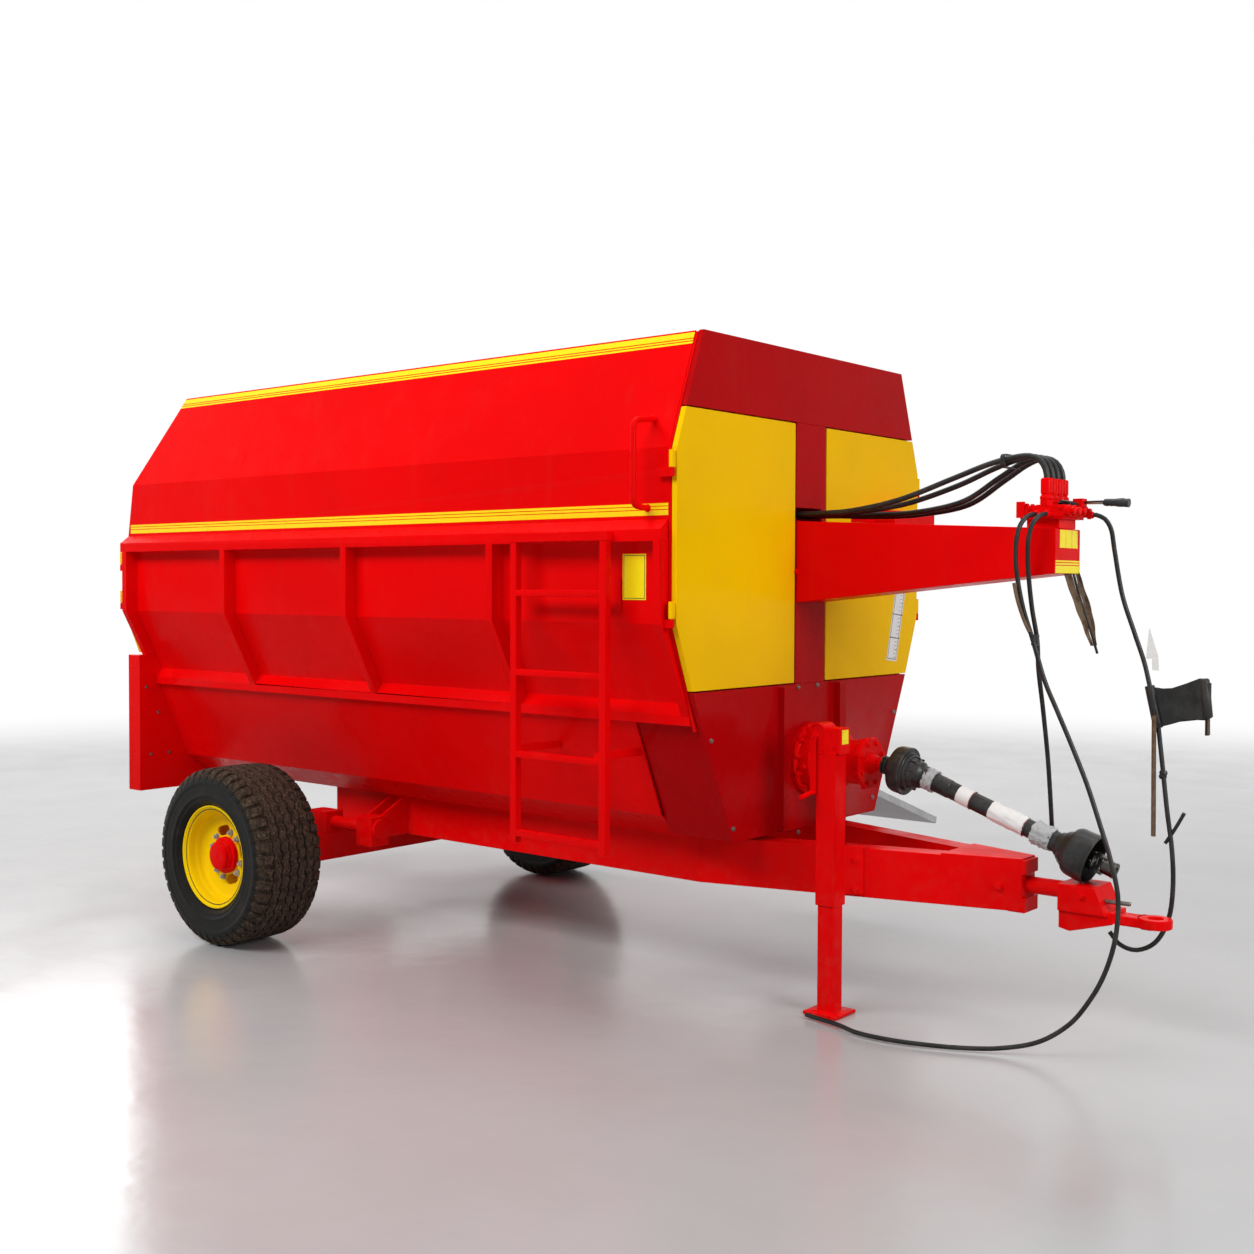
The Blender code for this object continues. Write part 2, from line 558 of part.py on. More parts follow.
def hopper():
    """Walls between the side sheets, and the trough under them."""
    outline = both_sides(inner_line())
    front = (CASE_WALL_X - WALL_PLATE, CASE_WALL_X)
    above = box((front[0] - CLEAR, -LEDGE_HALF, ROOF_Z - COVER_SKIN - GAP), (front[1] + CLEAR, LEDGE_HALF, TOP_Z + CLEAR))
    bores = shaft_bores((front[0] - CLEAR, front[1] + CLEAR), MAIN_AXES + UPPER_AXES)
    node("hopper_front_wall", RED, [prism("yz", outline, *front)], [above] + bores)

    rear_line = (
        (REAR_TOP_X, TOP_Z),
        (REAR_BEND_X, BEND_Z),
        (BODY_REAR_X, LEDGE_TOP_Z),
        (BODY_REAR_X, HOUSING_TOP_Z + GAP),
    )
    within = prism("yz", outline, BODY_REAR_X - CLEAR, REAR_TOP_X + CLEAR)
    bores = shaft_bores((BODY_REAR_X - CLEAR, BODY_REAR_X + 2 * WALL_PLATE), UPPER_AXES)
    sheet = prism("xz", band(rear_line, -WALL_PLATE), -LEDGE_HALF, LEDGE_HALF)
    node("hopper_rear_wall", RED, [sheet], bores, [within])

    line = both_sides(TROUGH_LINE)
    frame_x = (OPENING_X[0] - FRAME_EDGE, OPENING_X[1] + FRAME_EDGE)
    frame_up = (OPENING_UP[0] - FRAME_EDGE, OPENING_UP[1] + FRAME_EDGE)
    guide_up = (0.0, DOOR_UP[1])
    guide_out = DOOR_OUT[1] + SLIDE_GAP
    pieces = [
        prism("yz", band(line, TROUGH_SHEET), HOUSING_FRONT_X + GAP, TROUGH_FRONT_X - GAP),
        slope_block(frame_x, frame_up, (-BITE, FRAME_OUT)),
    ]
    for edge, outward in ((DOOR_X[0] - SLIDE_GAP, -1), (DOOR_X[1] + SLIDE_GAP, 1)):
        web = sorted((edge, edge + outward * 0.006))
        lip = sorted((edge + outward * 0.006, edge - outward * 0.020))
        pieces.append(slope_block(web, guide_up, (-BITE, guide_out + 0.005)))
        pieces.append(slope_block(lip, guide_up, (guide_out, guide_out + 0.005)))
    above = box(
        (HOUSING_FRONT_X - CLEAR, -LEDGE_HALF, LIP_BOTTOM_Z - GAP),
        (TROUGH_FRONT_X + CLEAR, LEDGE_HALF, LIP_BOTTOM_Z + CLEAR),
    )
    opening = slope_block(OPENING_X, OPENING_UP, (-2 * TROUGH_SHEET, 2 * FRAME_OUT))
    node("trough", RED, pieces, [above, opening])


def on_slope(up, out):
    """A point (y, z) some way up the trough's left side and out from it."""
    return tuple(TROUGH_CORNER + SLOPE * up + SLOPE_OUT * out)


def slope_block(x_ends, up_ends, out_ends):
    """A block that follows the trough's left side."""
    corners = ((0, 0), (0, 1), (1, 1), (1, 0))
    outline = [on_slope(up_ends[a], out_ends[b]) for a, b in corners]
    return prism("yz", outline, *x_ends)


def discharge():
    """Sliding door, its cylinder and the chute below it."""
    middle_x = sum(DOOR_X) / 2

    def at(up, out):
        return (middle_x, *on_slope(up, out))

    lug_up = DOOR_UP[0] + 0.045
    lug = slope_block((middle_x - 0.012, middle_x + 0.012), (lug_up - 0.020, lug_up + 0.020), (DOOR_OUT[1] - BITE, CYLINDER_OUT + 0.020))
    door = slope_block(DOOR_X, DOOR_UP, DOOR_OUT)
    closed_at = at(DOOR_UP[0], DOOR_OUT[0])
    rod_end = CYLINDER_UP[0] + 0.030
    shaft = rod(at(lug_up, CYLINDER_OUT), at(rod_end, CYLINDER_OUT), ROD_RADIUS, sides=16)
    node("discharge_door", RED, [door, lug, shaft], origin=closed_at)

    barrel = rod(at(CYLINDER_UP[0], CYLINDER_OUT), at(CYLINDER_UP[1], CYLINDER_OUT), CYLINDER_RADIUS)
    bore = rod(at(CYLINDER_UP[0] - CLEAR, CYLINDER_OUT), at(CYLINDER_UP[1] - 0.012, CYLINDER_OUT), CYLINDER_BORE, sides=16)
    mount_y, mount_z = on_slope(CYLINDER_UP[1] - 0.020, CYLINDER_OUT)
    shelf_z = (mount_z - 0.020, mount_z + 0.012)
    lean = (RECESS_HALF - LIP_ROOT_HALF) / (KINK_Z - LIP_ROOT_Z)
    wall_y = [RECESS_HALF + (z - KINK_Z) * lean + SLIDE_GAP for z in shelf_z]
    shelf_line = ((wall_y[0], shelf_z[0]), (wall_y[1], shelf_z[1]), (mount_y, shelf_z[1]), (mount_y, shelf_z[0]))
    shelf = prism("yz", shelf_line, middle_x - 0.030, middle_x + 0.030)
    node("discharge_cylinder", BLACK, [barrel, shelf], [bore])

    chute_line = ((0.575, 0.678), (1.110, 0.492))
    plate = prism("yz", band(chute_line, -COVER_SKIN), -0.860, -0.030)
    rims = [prism("yz", band(chute_line, -0.030), x, x + COVER_SKIN) for x in (-0.860, -0.034)]
    hanger_z = CHASSIS_BOTTOM_Z + BEAM_HEIGHT / 2
    hanger_line = ((BEAM_OUTER + GAP, hanger_z - 0.030), (BEAM_OUTER + GAP, hanger_z + 0.030), (0.800, 0.603), (0.800, 0.572))
    hanger = prism("yz", hanger_line, -0.620, -0.580)
    node("discharge_chute", GREY, [plate, *rims, hanger])


def knives(frame, radius, pitch, hand):
    """Pointed knives on the flight's front face, reaching past its edge."""
    lead = hand * atan2(pitch, 2 * pi * radius)
    blades = []
    turn = KNIFE_SPACING
    while turn < FLIGHT_TURNS - KNIFE_SPACING / 2:
        blade = prism("xy", [(x, hand * y) for x, y in KNIFE_OUTLINE], FLIGHT / 2 - BITE, FLIGHT / 2 - BITE + KNIFE_THICKNESS)
        place = Matrix.Rotation(hand * 2 * pi * turn, 4, "Z") @ Matrix.Translation((radius, 0.0, pitch * turn))
        blade.data.transform(frame @ place @ Matrix.Rotation(lead, 4, "X"))
        blades.append(blade)
        turn += KNIFE_SPACING
    return blades


def sprocket(axis, teeth):
    """Toothed chain wheel on an auger's front end."""
    y, z = axis
    radius = teeth * SPROCKET_PITCH / (2 * pi)
    outline = []
    for index in range(2 * teeth):
        reach = radius + TOOTH * (0.5 if index % 2 else -0.5)
        angle = pi * index / teeth
        outline.append((y + reach * cos(angle), z + reach * sin(angle)))
    return prism("yz", outline, *SPROCKET_X)


def auger(name, axis, radius, tube_radius, hand, ends, teeth):
    """Shaft, tube, helical flight, knives and sprocket of one auger."""
    y, z = axis
    half = FLIGHT / 2
    edge = radius - KNIFE_REACH
    profile = ((tube_radius - FLIGHT, -half), (edge, -half), (edge, half), (tube_radius - FLIGHT, half))
    run = AUGER_FRONT_X - AUGER_REAR_X - 4 * FLIGHT
    pitch = run / FLIGHT_TURNS
    frame = turned_to((AUGER_REAR_X + 2 * FLIGHT, y, z), (1.0, 0.0, 0.0)) @ Matrix.Rotation(hand * FLIGHT_PHASE, 4, "Z")
    pieces = [
        rod((AUGER_REAR_X, y, z), (AUGER_FRONT_X, y, z), tube_radius),
        screwed(profile, frame, FLIGHT_STEPS, pitch=pitch, turns=FLIGHT_TURNS, hand=hand),
        rod((ends[0], y, z), (ends[1], y, z), SHAFT_RADIUS),
        sprocket(axis, teeth),
        *knives(frame, edge, pitch, hand),
    ]
    node(name, STEEL, pieces, origin=(AUGER_REAR_X, y, z))


def augers():
    """The main auger in the trough and the two above it."""
    rear_x = BODY_REAR_X - GAP
    auger("auger_main", MAIN_AXES[0], MAIN_RADIUS, MAIN_TUBE_RADIUS, 1, (MAIN_SHAFT_REAR_X, MAIN_SHAFT_FRONT_X), SPROCKET_TEETH)
    for axis, hand, name in ((UPPER_AXES[0], 1, "auger_upper_left"), (UPPER_AXES[1], -1, "auger_upper_right")):
        auger(name, axis, UPPER_RADIUS, UPPER_TUBE_RADIUS, hand, (rear_x, UPPER_SHAFT_FRONT_X), round(SPROCKET_TEETH / SPEED_RATIO))


def outline_y(z):
    """Half width of the front outline at a height."""
    line = ((TOP_HALF, TOP_Z), (BEND_HALF, BEND_Z), (BEND_HALF, KINK_Z), (DOOR_BOTTOM_HALF, DOOR_BOTTOM_Z), (CORNER_HALF, CORNER_Z))
    for (upper_y, upper_z), (lower_y, lower_z) in zip(line, line[1:]):
        if lower_z <= z <= upper_z:
            return lower_y + (upper_y - lower_y) * (z - lower_z) / (upper_z - lower_z)
    return CORNER_HALF


def pan(outline, face_x, depth, skin):
    """A folded cover with its pocket at the back: its blank and its cutter."""
    back = face_x - depth
    inner = face_x - (skin if depth > 0 else -skin)
    pocket_ends = sorted((back - (CLEAR if depth > 0 else -CLEAR), inner))
    return prism("yz", outline, *sorted((back, face_x))), prism("yz", inset(outline, skin, closed=True), *pocket_ends)


def front_covers():
    """Fixed panels of the front: lower panel, column, top strip and the case behind them."""
    lower = both_sides(((DOOR_BOTTOM_HALF, DOOR_BOTTOM_Z), (CORNER_HALF, CORNER_Z)))
    blank, pocket = pan(lower, 0.0, COVER_DEPTH, COVER_SKIN)
    ribs = [
        box((-BITE, side * 0.178, CORNER_Z + 0.010), (0.030, side * 0.224, DOOR_BOTTOM_Z - 0.006))
        for side in (1, -1)
    ]
    node("front_lower_panel", RED, [blank, *ribs], [pocket])

    column_z = (DOOR_BOTTOM_Z + GAP, STRIP_Z - GAP)
    column = box((-COLUMN_DEPTH, -COLUMN_HALF, column_z[0]), (0.0, COLUMN_HALF, column_z[1]))
    slot = box((-COLUMN_DEPTH + COVER_SKIN, -COLUMN_HALF - CLEAR, SLOT_Z[0]), (CLEAR, 0.075, SLOT_Z[1]))
    hollow = box((-COLUMN_DEPTH - CLEAR, -COLUMN_HALF + 2 * COVER_SKIN, column_z[0] - CLEAR), (-3 * COVER_SKIN, COLUMN_HALF - 2 * COVER_SKIN, SLOT_Z[0] - 0.03))
    node("front_column", RED, [column], [slot, hollow])

    strip = both_sides(((TOP_HALF, TOP_Z), (outline_y(STRIP_Z), STRIP_Z)))
    blank = prism("yz", strip, -COVER_DEPTH, 0.0)
    roof_half = TOP_HALF - SHEET - 2 * GAP
    roof = box((CASE_WALL_X - WALL_PLATE, -roof_half, ROOF_Z - COVER_SKIN), (-COVER_SKIN / 2, roof_half, ROOF_Z))
    node("front_top_strip", RED, [blank, roof], [pocket_under_roof(strip)])

    top_y = outline_y(LIP_BOTTOM_Z - GAP) - BITE
    case_line = ((top_y, LIP_BOTTOM_Z - GAP), (CORNER_HALF - BITE, CORNER_Z + BITE))
    shell = prism("yz", band(both_sides(case_line), COVER_SKIN), TROUGH_FRONT_X, -COVER_DEPTH - GAP)
    above = box((TROUGH_FRONT_X - CLEAR, -LEDGE_HALF, LIP_BOTTOM_Z - GAP), (CLEAR, LEDGE_HALF, LIP_BOTTOM_Z + CLEAR))
    node("front_case_shell", RED, [shell], [above])


def pocket_under_roof(strip):
    """The pocket of the top strip, kept below its roof plate."""
    outline = inset(strip, COVER_SKIN, closed=True)
    lowered = [(y, min(z, ROOF_Z - COVER_SKIN)) for y, z in outline]
    return prism("yz", lowered, -COVER_DEPTH - CLEAR, -COVER_SKIN)


def door(name, side, face_x, toward, corners, hinges):
    """A hinged cover: corners are (y, z) on the left side, from the hinge's upper corner round."""
    outline = sided(corners, side)
    if side < 0:
        outline.reverse()
    blank, pocket = pan(outline, face_x, toward * COVER_DEPTH, COVER_SKIN)
    axis_x = face_x - toward * COVER_DEPTH / 2
    pieces = [blank]
    bores = []
    for z in hinges:
        tab_y = sorted((side * HINGE_Y, side * (BEND_HALF - BITE)))
        tab_x = sorted((axis_x - 0.004, axis_x + 0.004))
        low, high = z - KNUCKLE, z + KNUCKLE
        pieces.append(box((tab_x[0], tab_y[0], low), (tab_x[1], tab_y[1], high)))
        pieces.append(rod((axis_x, side * HINGE_Y, low), (axis_x, side * HINGE_Y, high), HINGE_RADIUS, sides=12))
        bores.append(rod((axis_x, side * HINGE_Y, low - CLEAR), (axis_x, side * HINGE_Y, high + CLEAR), HINGE_BORE, sides=8))
    return pieces, [pocket, *bores], (axis_x, side * HINGE_Y, hinges[-1])


def front_door(side):
    """Yellow door of the front case."""
    low, high = DOOR_BOTTOM_Z + CLEAR, STRIP_Z - CLEAR
    corners = (
        (DOOR_INNER_Y, high),
        (outline_y(high), high),
        (BEND_HALF, BEND_Z),
        (BEND_HALF, KINK_Z),
        (outline_y(low), low),
        (DOOR_INNER_Y, low),
    )
    name = named("front_door", side)
    pieces, cuts, axis = door(name, side, 0.0, 1, corners, FRONT_HINGES)
    node(name, YELLOW, pieces, cuts, origin=axis)


def rear_door(side):
    """Yellow door over the rear bearings, with its latch."""
    low, high = REAR_DOOR_Z
    inner_y = CLEAR / 2 + GAP
    corners = ((inner_y, high), (BEND_HALF, high), (BEND_HALF, KINK_Z), (outline_y(low), low), (inner_y, low))
    name = named("rear_door", side)
    pieces, cuts, axis = door(name, side, REAR_DOOR_FACE_X, -1, corners, REAR_HINGES)
    latch_y = sorted(side * y for y in LATCH_Y)
    latch = box((-REAR_REACH, latch_y[0], KINK_Z), (REAR_DOOR_FACE_X + BITE, latch_y[1], KINK_Z + LATCH_HEIGHT))
    node(name, YELLOW, [*pieces, latch], cuts, origin=axis)


def rear_housing():
    """Bolted housing under the rear doors, and its cover."""
    outside = box((HOUSING_REAR_X, -HOUSING_HALF, HOUSING_BOTTOM_Z), (HOUSING_FRONT_X, HOUSING_HALF, HOUSING_TOP_Z))
    inside = box(
        (HOUSING_REAR_X - CLEAR, -HOUSING_HALF + COVER_SKIN, HOUSING_BOTTOM_Z + COVER_SKIN),
        (HOUSING_FRONT_X - WALL_PLATE, HOUSING_HALF - COVER_SKIN, HOUSING_TOP_Z - COVER_SKIN),
    )
    bores = shaft_bores((HOUSING_FRONT_X - 2 * WALL_PLATE, HOUSING_FRONT_X + CLEAR), MAIN_AXES)
    node("rear_housing", RED, [outside], [inside, *bores])
    cover = box(
        (HOUSING_REAR_X - COVER_SKIN - GAP, -HOUSING_HALF, HOUSING_BOTTOM_Z),
        (HOUSING_REAR_X - GAP, HOUSING_HALF, HOUSING_TOP_Z),
    )
    node("rear_cover", RED, [cover])


def chassis():
    """Two long beams that meet at the drawbar tip, with their cross members."""
    outer = ((CHASSIS_REAR_X, BEAM_OUTER), (CHASSIS_BEND_X, BEAM_OUTER), (DRAWBAR_TIP_X, DRAWBAR_TIP_HALF))
    plan = band(outer, BEAM_WIDTH)
    levels = (CHASSIS_BOTTOM_Z, CHASSIS_TOP_Z)
    pieces = [prism("xy", [(x, side * y) for x, y in plan], *levels) for side in (1, -1)]
    inner = BEAM_OUTER - BEAM_WIDTH / 2
    for x in CROSS_MEMBERS:
        pieces.append(
            box((x - CROSS_WIDTH / 2, -inner, levels[0] + 0.020), (x + CROSS_WIDTH / 2, inner, levels[1] - 0.010))
        )
    head = box((DRAWBAR_TIP_X - 0.055, -DRAWBAR_TIP_HALF, levels[0] - 0.004), (DRAWBAR_TIP_X + TIP_PLATE, DRAWBAR_TIP_HALF, levels[1]))
    slope = (BEAM_OUTER - DRAWBAR_TIP_HALF) / (DRAWBAR_TIP_X - CHASSIS_BEND_X)
    root_x = 0.640
    root_half = DRAWBAR_TIP_HALF + slope * (DRAWBAR_TIP_X - root_x)
    gusset = (
        (root_x, root_half),
        (DRAWBAR_TIP_X, DRAWBAR_TIP_HALF),
        (DRAWBAR_TIP_X, -DRAWBAR_TIP_HALF),
        (root_x, -root_half),
    )
    pieces += [head, prism("xy", gusset, levels[1] - BITE, levels[1] + 0.006)]
    socket = rod((DRAWBAR_TIP_X - 0.060, 0.0, HITCH_BAR_Z), (DRAWBAR_TIP_X + CLEAR + 0.012, 0.0, HITCH_BAR_Z), HITCH_BAR_RADIUS + GAP)
    mouth = box(
        (DRAWBAR_TIP_X, -DRAWBAR_TIP_HALF - CLEAR, HITCH_BAR_Z - TIP_MOUTH_HALF),
        (DRAWBAR_TIP_X + TIP_PLATE + CLEAR, DRAWBAR_TIP_HALF + CLEAR, HITCH_BAR_Z + TIP_MOUTH_HALF),
    )
    node("chassis", RED, pieces, [socket, mouth])


def hitch():
    """Weigh bar at the drawbar tip, the head it carries and the towing eye."""
    node(
        "hitch_weigh_bar",
        STEEL,
        [rod((DRAWBAR_TIP_X - 0.059, 0.0, HITCH_BAR_Z), (HITCH_HEAD_X[0] + 0.100, 0.0, HITCH_BAR_Z), HITCH_BAR_RADIUS)],
    )
    rear, front = HITCH_HEAD_X
    block = prism("xz", ((rear, 0.455), (rear, 0.5485), (front - 0.060, 0.5485), (front - 0.020, 0.455)), -HITCH_HALF, HITCH_HALF)
    foot = prism("xz", ((rear, 0.395), (rear, 0.470), (front, 0.470), (front, 0.430), (rear + 0.040, 0.387)), -HITCH_HALF + 0.012, HITCH_HALF - 0.012)
    socket = rod((rear - CLEAR, 0.0, HITCH_BAR_Z), (rear + 0.101, 0.0, HITCH_BAR_Z), HITCH_BAR_RADIUS + GAP)
    node("hitch_head", RED, [block, foot], [socket])
    shank = box((front + GAP, -0.038, EYE_Z - 0.020), (EYE_X, 0.038, EYE_Z + 0.012))
    ring = rod((EYE_X, 0.0, EYE_Z - 0.018), (EYE_X, 0.0, EYE_Z + 0.014), EYE_RADIUS)
    hole = rod((EYE_X, 0.0, EYE_Z - 0.030), (EYE_X, 0.0, EYE_Z + 0.030), EYE_HOLE)
    node("hitch_eye", RED, [shank, ring], [hole])


def axle():
    """Axle beam with its spindles and weigh bar seats."""
    beam = box((AXLE_X - AXLE_DEPTH / 2, -AXLE_HALF, AXLE_BOTTOM_Z), (AXLE_X + AXLE_DEPTH / 2, AXLE_HALF, AXLE_TOP_Z))
    pieces = [beam]
    cuts = []
    seat_half = 0.050
    for side in (1, -1):
        pieces.append(rod((AXLE_X, side * (AXLE_HALF - 0.020), WHEEL_Z), (AXLE_X, side * SPINDLE_END_Y, WHEEL_Z), SPINDLE_RADIUS))
        seat_y = sorted((side * (WEIGH_BAR_Y - seat_half), side * (WEIGH_BAR_Y + seat_half)))
        pieces.append(box((AXLE_X - AXLE_DEPTH / 2, seat_y[0], AXLE_TOP_Z - BITE), (AXLE_X + AXLE_DEPTH / 2, seat_y[1], WEIGH_BAR_Z + seat_half)))
        centre = (side * WEIGH_BAR_Y, WEIGH_BAR_Z)
        cuts.append(rod((AXLE_X - AXLE_DEPTH, *centre), (AXLE_X + AXLE_DEPTH, *centre), WEIGH_BAR_RADIUS + GAP))
        node(
            named("axle_weigh_bar", side),
            STEEL,
            [rod((AXLE_X - AXLE_DEPTH / 2 + 0.010, *centre), (BRACKET_X[1] - 0.012, *centre), WEIGH_BAR_RADIUS)],
        )
        bracket(side, seat_half)
    node("axle", RED, pieces, cuts)


def bracket(side, seat_half):
    """Box on the chassis that rests on the front end of a weigh bar."""
    y_ends = sorted((side * (WEIGH_BAR_Y - seat_half), side * (WEIGH_BAR_Y + seat_half)))
    arm_y = sorted((side * (BEAM_OUTER + GAP), side * (WEIGH_BAR_Y - seat_half + BITE)))
    block = box((BRACKET_X[0], y_ends[0], BRACKET_Z[0]), (BRACKET_X[1], y_ends[1], BRACKET_Z[1]))
    arm = box((BRACKET_X[0] + 0.010, arm_y[0], BRACKET_Z[0] + 0.035), (BRACKET_X[1] - 0.010, arm_y[1], BRACKET_Z[1] - 0.010))
    root_z = CHASSIS_TOP_Z - BITE
    gusset_line = (
        (BEAM_OUTER + GAP, BRACKET_Z[0] + 0.035),
        (BEAM_OUTER + GAP, root_z),
        (BEAM_OUTER + 0.024, root_z),
        (WEIGH_BAR_Y, BRACKET_Z[1] - BITE),
        (WEIGH_BAR_Y, BRACKET_Z[0] + 0.035),
    )
    gussets = [
        prism("yz", sided(gusset_line, side), x, x + GUSSET) for x in (BRACKET_X[0] + 0.004, BRACKET_X[1] - 0.004 - GUSSET)
    ]
    centre = (side * WEIGH_BAR_Y, WEIGH_BAR_Z)
    bore = rod((BRACKET_X[0] - CLEAR, *centre), (BRACKET_X[1] - 0.011, *centre), WEIGH_BAR_RADIUS + GAP)
    cap = rod((BRACKET_X[1] - BITE, *centre), (BRACKET_X[1] + 0.014, *centre), 0.046)
    node(named("weigh_bar_bracket", side), RED, [block, arm, *gussets, cap], [bore])


def tyre_profile():
    """Half the tyre's section as (distance from its middle, radius), from the bead to the crown."""
    bead_side = RIM_HALF_WIDTH - RIM_SHEET - GAP
    groove = TYRE_RADIUS - 0.012
    return (
        (bead_side, BEAD_RADIUS + GAP),
        (bead_side, RIM_FLANGE_RADIUS + 0.004),
        (TYRE_HALF_WIDTH, 0.290),
        (0.160, 0.352),
        (0.138, 0.372),
        (0.099, 0.380),
        (0.088, groove - 0.004),
        (0.077, 0.384),
        (0.032, TYRE_RADIUS),
        (0.022, groove),
        (0.012, TYRE_RADIUS),
    )


def wheel(side):
    """Tyre, and rim with its disc and hub."""
    centre = (AXLE_X, side * TYRE_Y, WHEEL_Z)
    frame = turned_to(centre, (0.0, side, 0.0))
    half = tyre_profile()
    outline = [(radius, place) for place, radius in half] + [(radius, -place) for place, radius in reversed(half)]
    node(named("tyre", side), RUBBER, [screwed(outline, frame, TYRE_STEPS)], origin=centre)

    inner = BEAD_RADIUS - RIM_SHEET
    edge = RIM_HALF_WIDTH - RIM_SHEET
    profile = (
        (RIM_FLANGE_RADIUS, -RIM_HALF_WIDTH),
        (RIM_FLANGE_RADIUS, -edge),
        (BEAD_RADIUS, -edge),
        (BEAD_RADIUS, edge),
        (RIM_FLANGE_RADIUS, edge),
        (RIM_FLANGE_RADIUS, RIM_HALF_WIDTH),
        (inner, RIM_HALF_WIDTH),
        (inner, DISC_OFFSET + RIM_SHEET),
        (HUB_RADIUS - 0.010, DISC_OFFSET + RIM_SHEET),
        (HUB_RADIUS - 0.010, DISC_OFFSET),
        (inner, DISC_OFFSET),
        (inner, -RIM_HALF_WIDTH),
    )
    hub = [
        rod((AXLE_X, side * start, WHEEL_Z), (AXLE_X, side * end, WHEEL_Z), radius, sides=24)
        for start, end, radius in (
            (HUB_INNER_Y, HUB_FLANGE_Y[0] + BITE, HUB_RADIUS),
            (*HUB_FLANGE_Y, HUB_FLANGE_RADIUS),
            (HUB_FLANGE_Y[1] - BITE, HUB_OUTER_Y, HUB_CAP_RADIUS),
        )
    ]
    bore = rod((AXLE_X, side * (HUB_INNER_Y - CLEAR), WHEEL_Z), (AXLE_X, side * (SPINDLE_END_Y + CLEAR), WHEEL_Z), SPINDLE_BORE)
    y_ends = sorted((side * (TYRE_Y + DISC_OFFSET - CLEAR), side * (TYRE_Y + DISC_OFFSET + RIM_SHEET + CLEAR)))
    holes = [
        prism("xz", hand_hole(HAND_HOLE_PHASE + 2 * pi * index / HAND_HOLES), *y_ends)
        for index in range(HAND_HOLES)
    ]
    node(named("rim", side), YELLOW, [screwed(profile, frame, TYRE_STEPS), *hub], [bore, *holes], origin=centre)


def hand_hole(angle):
    """Outline (x, z) of a slot with round ends, across the wheel's radius."""
    straight = HAND_HOLE_LENGTH / 2 - HAND_HOLE_RADIUS
    outline = []
    for end in (1, -1):
        for step in range(7):
            turn = pi * step / 6 - end * pi / 2
            along = end * straight + HAND_HOLE_RADIUS * cos(turn)
            outward = HAND_HOLE_CIRCLE + HAND_HOLE_RADIUS * sin(turn)
            outline.append((
                AXLE_X + outward * cos(angle) - along * sin(angle),
                WHEEL_Z + outward * sin(angle) + along * cos(angle),
            ))
    return outline


def ladder():
    """Ladder on the right side, and the grab handle over it."""
    back, front = -LEDGE_HALF - 0.002, -LEDGE_HALF - 0.032
    left, right = LADDER_X
    post_z = (RUNG_ZS[0] - 0.037, LEDGE_TOP_Z - 0.010)
    posts = [box((x, front, post_z[0]), (x + LADDER_POST, back, post_z[1])) for x in LADDER_X]
    rungs = [
        box((left + 0.020, front, z - RUNG_HEIGHT / 2), (right + 0.010, back - 0.004, z + RUNG_HEIGHT / 2))
        for z in RUNG_ZS
    ]
    top = box((left - 0.006, front - BITE, LEDGE_BOTTOM_Z + 0.004), (right + 0.036, -LEDGE_HALF - GAP, LEDGE_TOP_Z - 0.004))
    brace_z = BRACE_Z
    wall_y = TROUGH_CORNER_HALF + (brace_z - TROUGH_CORNER_Z) * SLOPE.x / SLOPE.y
    rise = 0.015 * SLOPE.x / SLOPE.y
    brace_line = (
        (-(wall_y - rise) - 2 * GAP, brace_z - 0.015),
        (-(wall_y + rise) - 2 * GAP, brace_z + 0.015),
        (back - BITE, brace_z + 0.015),
        (back - BITE, brace_z - 0.015),
    )
    braces = [prism("yz", brace_line, x, x + SHEET) for x in (left + 0.010, right - 0.025)]
    foot = box((right - 0.029, front + 0.006, brace_z - 0.015), (right + 0.021, back - BITE, brace_z + 0.015))
    node("ladder", RED, [*posts, *rungs, top, *braces, foot])

    low, high = GRAB_Z
    wall = -BEND_HALF - GAP
    reach = -BEND_HALF - 0.059
    bars = []
    top_wall = -outline_y(high) - 2 * GAP
    for x in GRAB_XS:
        line = ((x, wall, low), (x, reach, low + 0.015), (x, reach, high - 0.030), (x, top_wall - 0.004, high))
        bars.append(tube(line, GRAB_RADIUS))
    cross = rod((GRAB_XS[0] - 0.006, reach, high - 0.050), (GRAB_XS[1] + 0.006, reach, high - 0.050), GRAB_RADIUS, sides=12)
    node("grab_handle", RED, [*bars, cross], [handle_trim()])


def handle_trim():
    """What lies inside the outer face of the right side sheet, a gap away."""
    line = inset(SIDE_LINE[:4], -GAP)
    outline = [(-y, z) for y, z in line] + [(0.0, line[-1][1]), (0.0, line[0][1])]
    return prism("yz", outline, GRAB_XS[0] - 0.096, SIDE_FRONT_X)


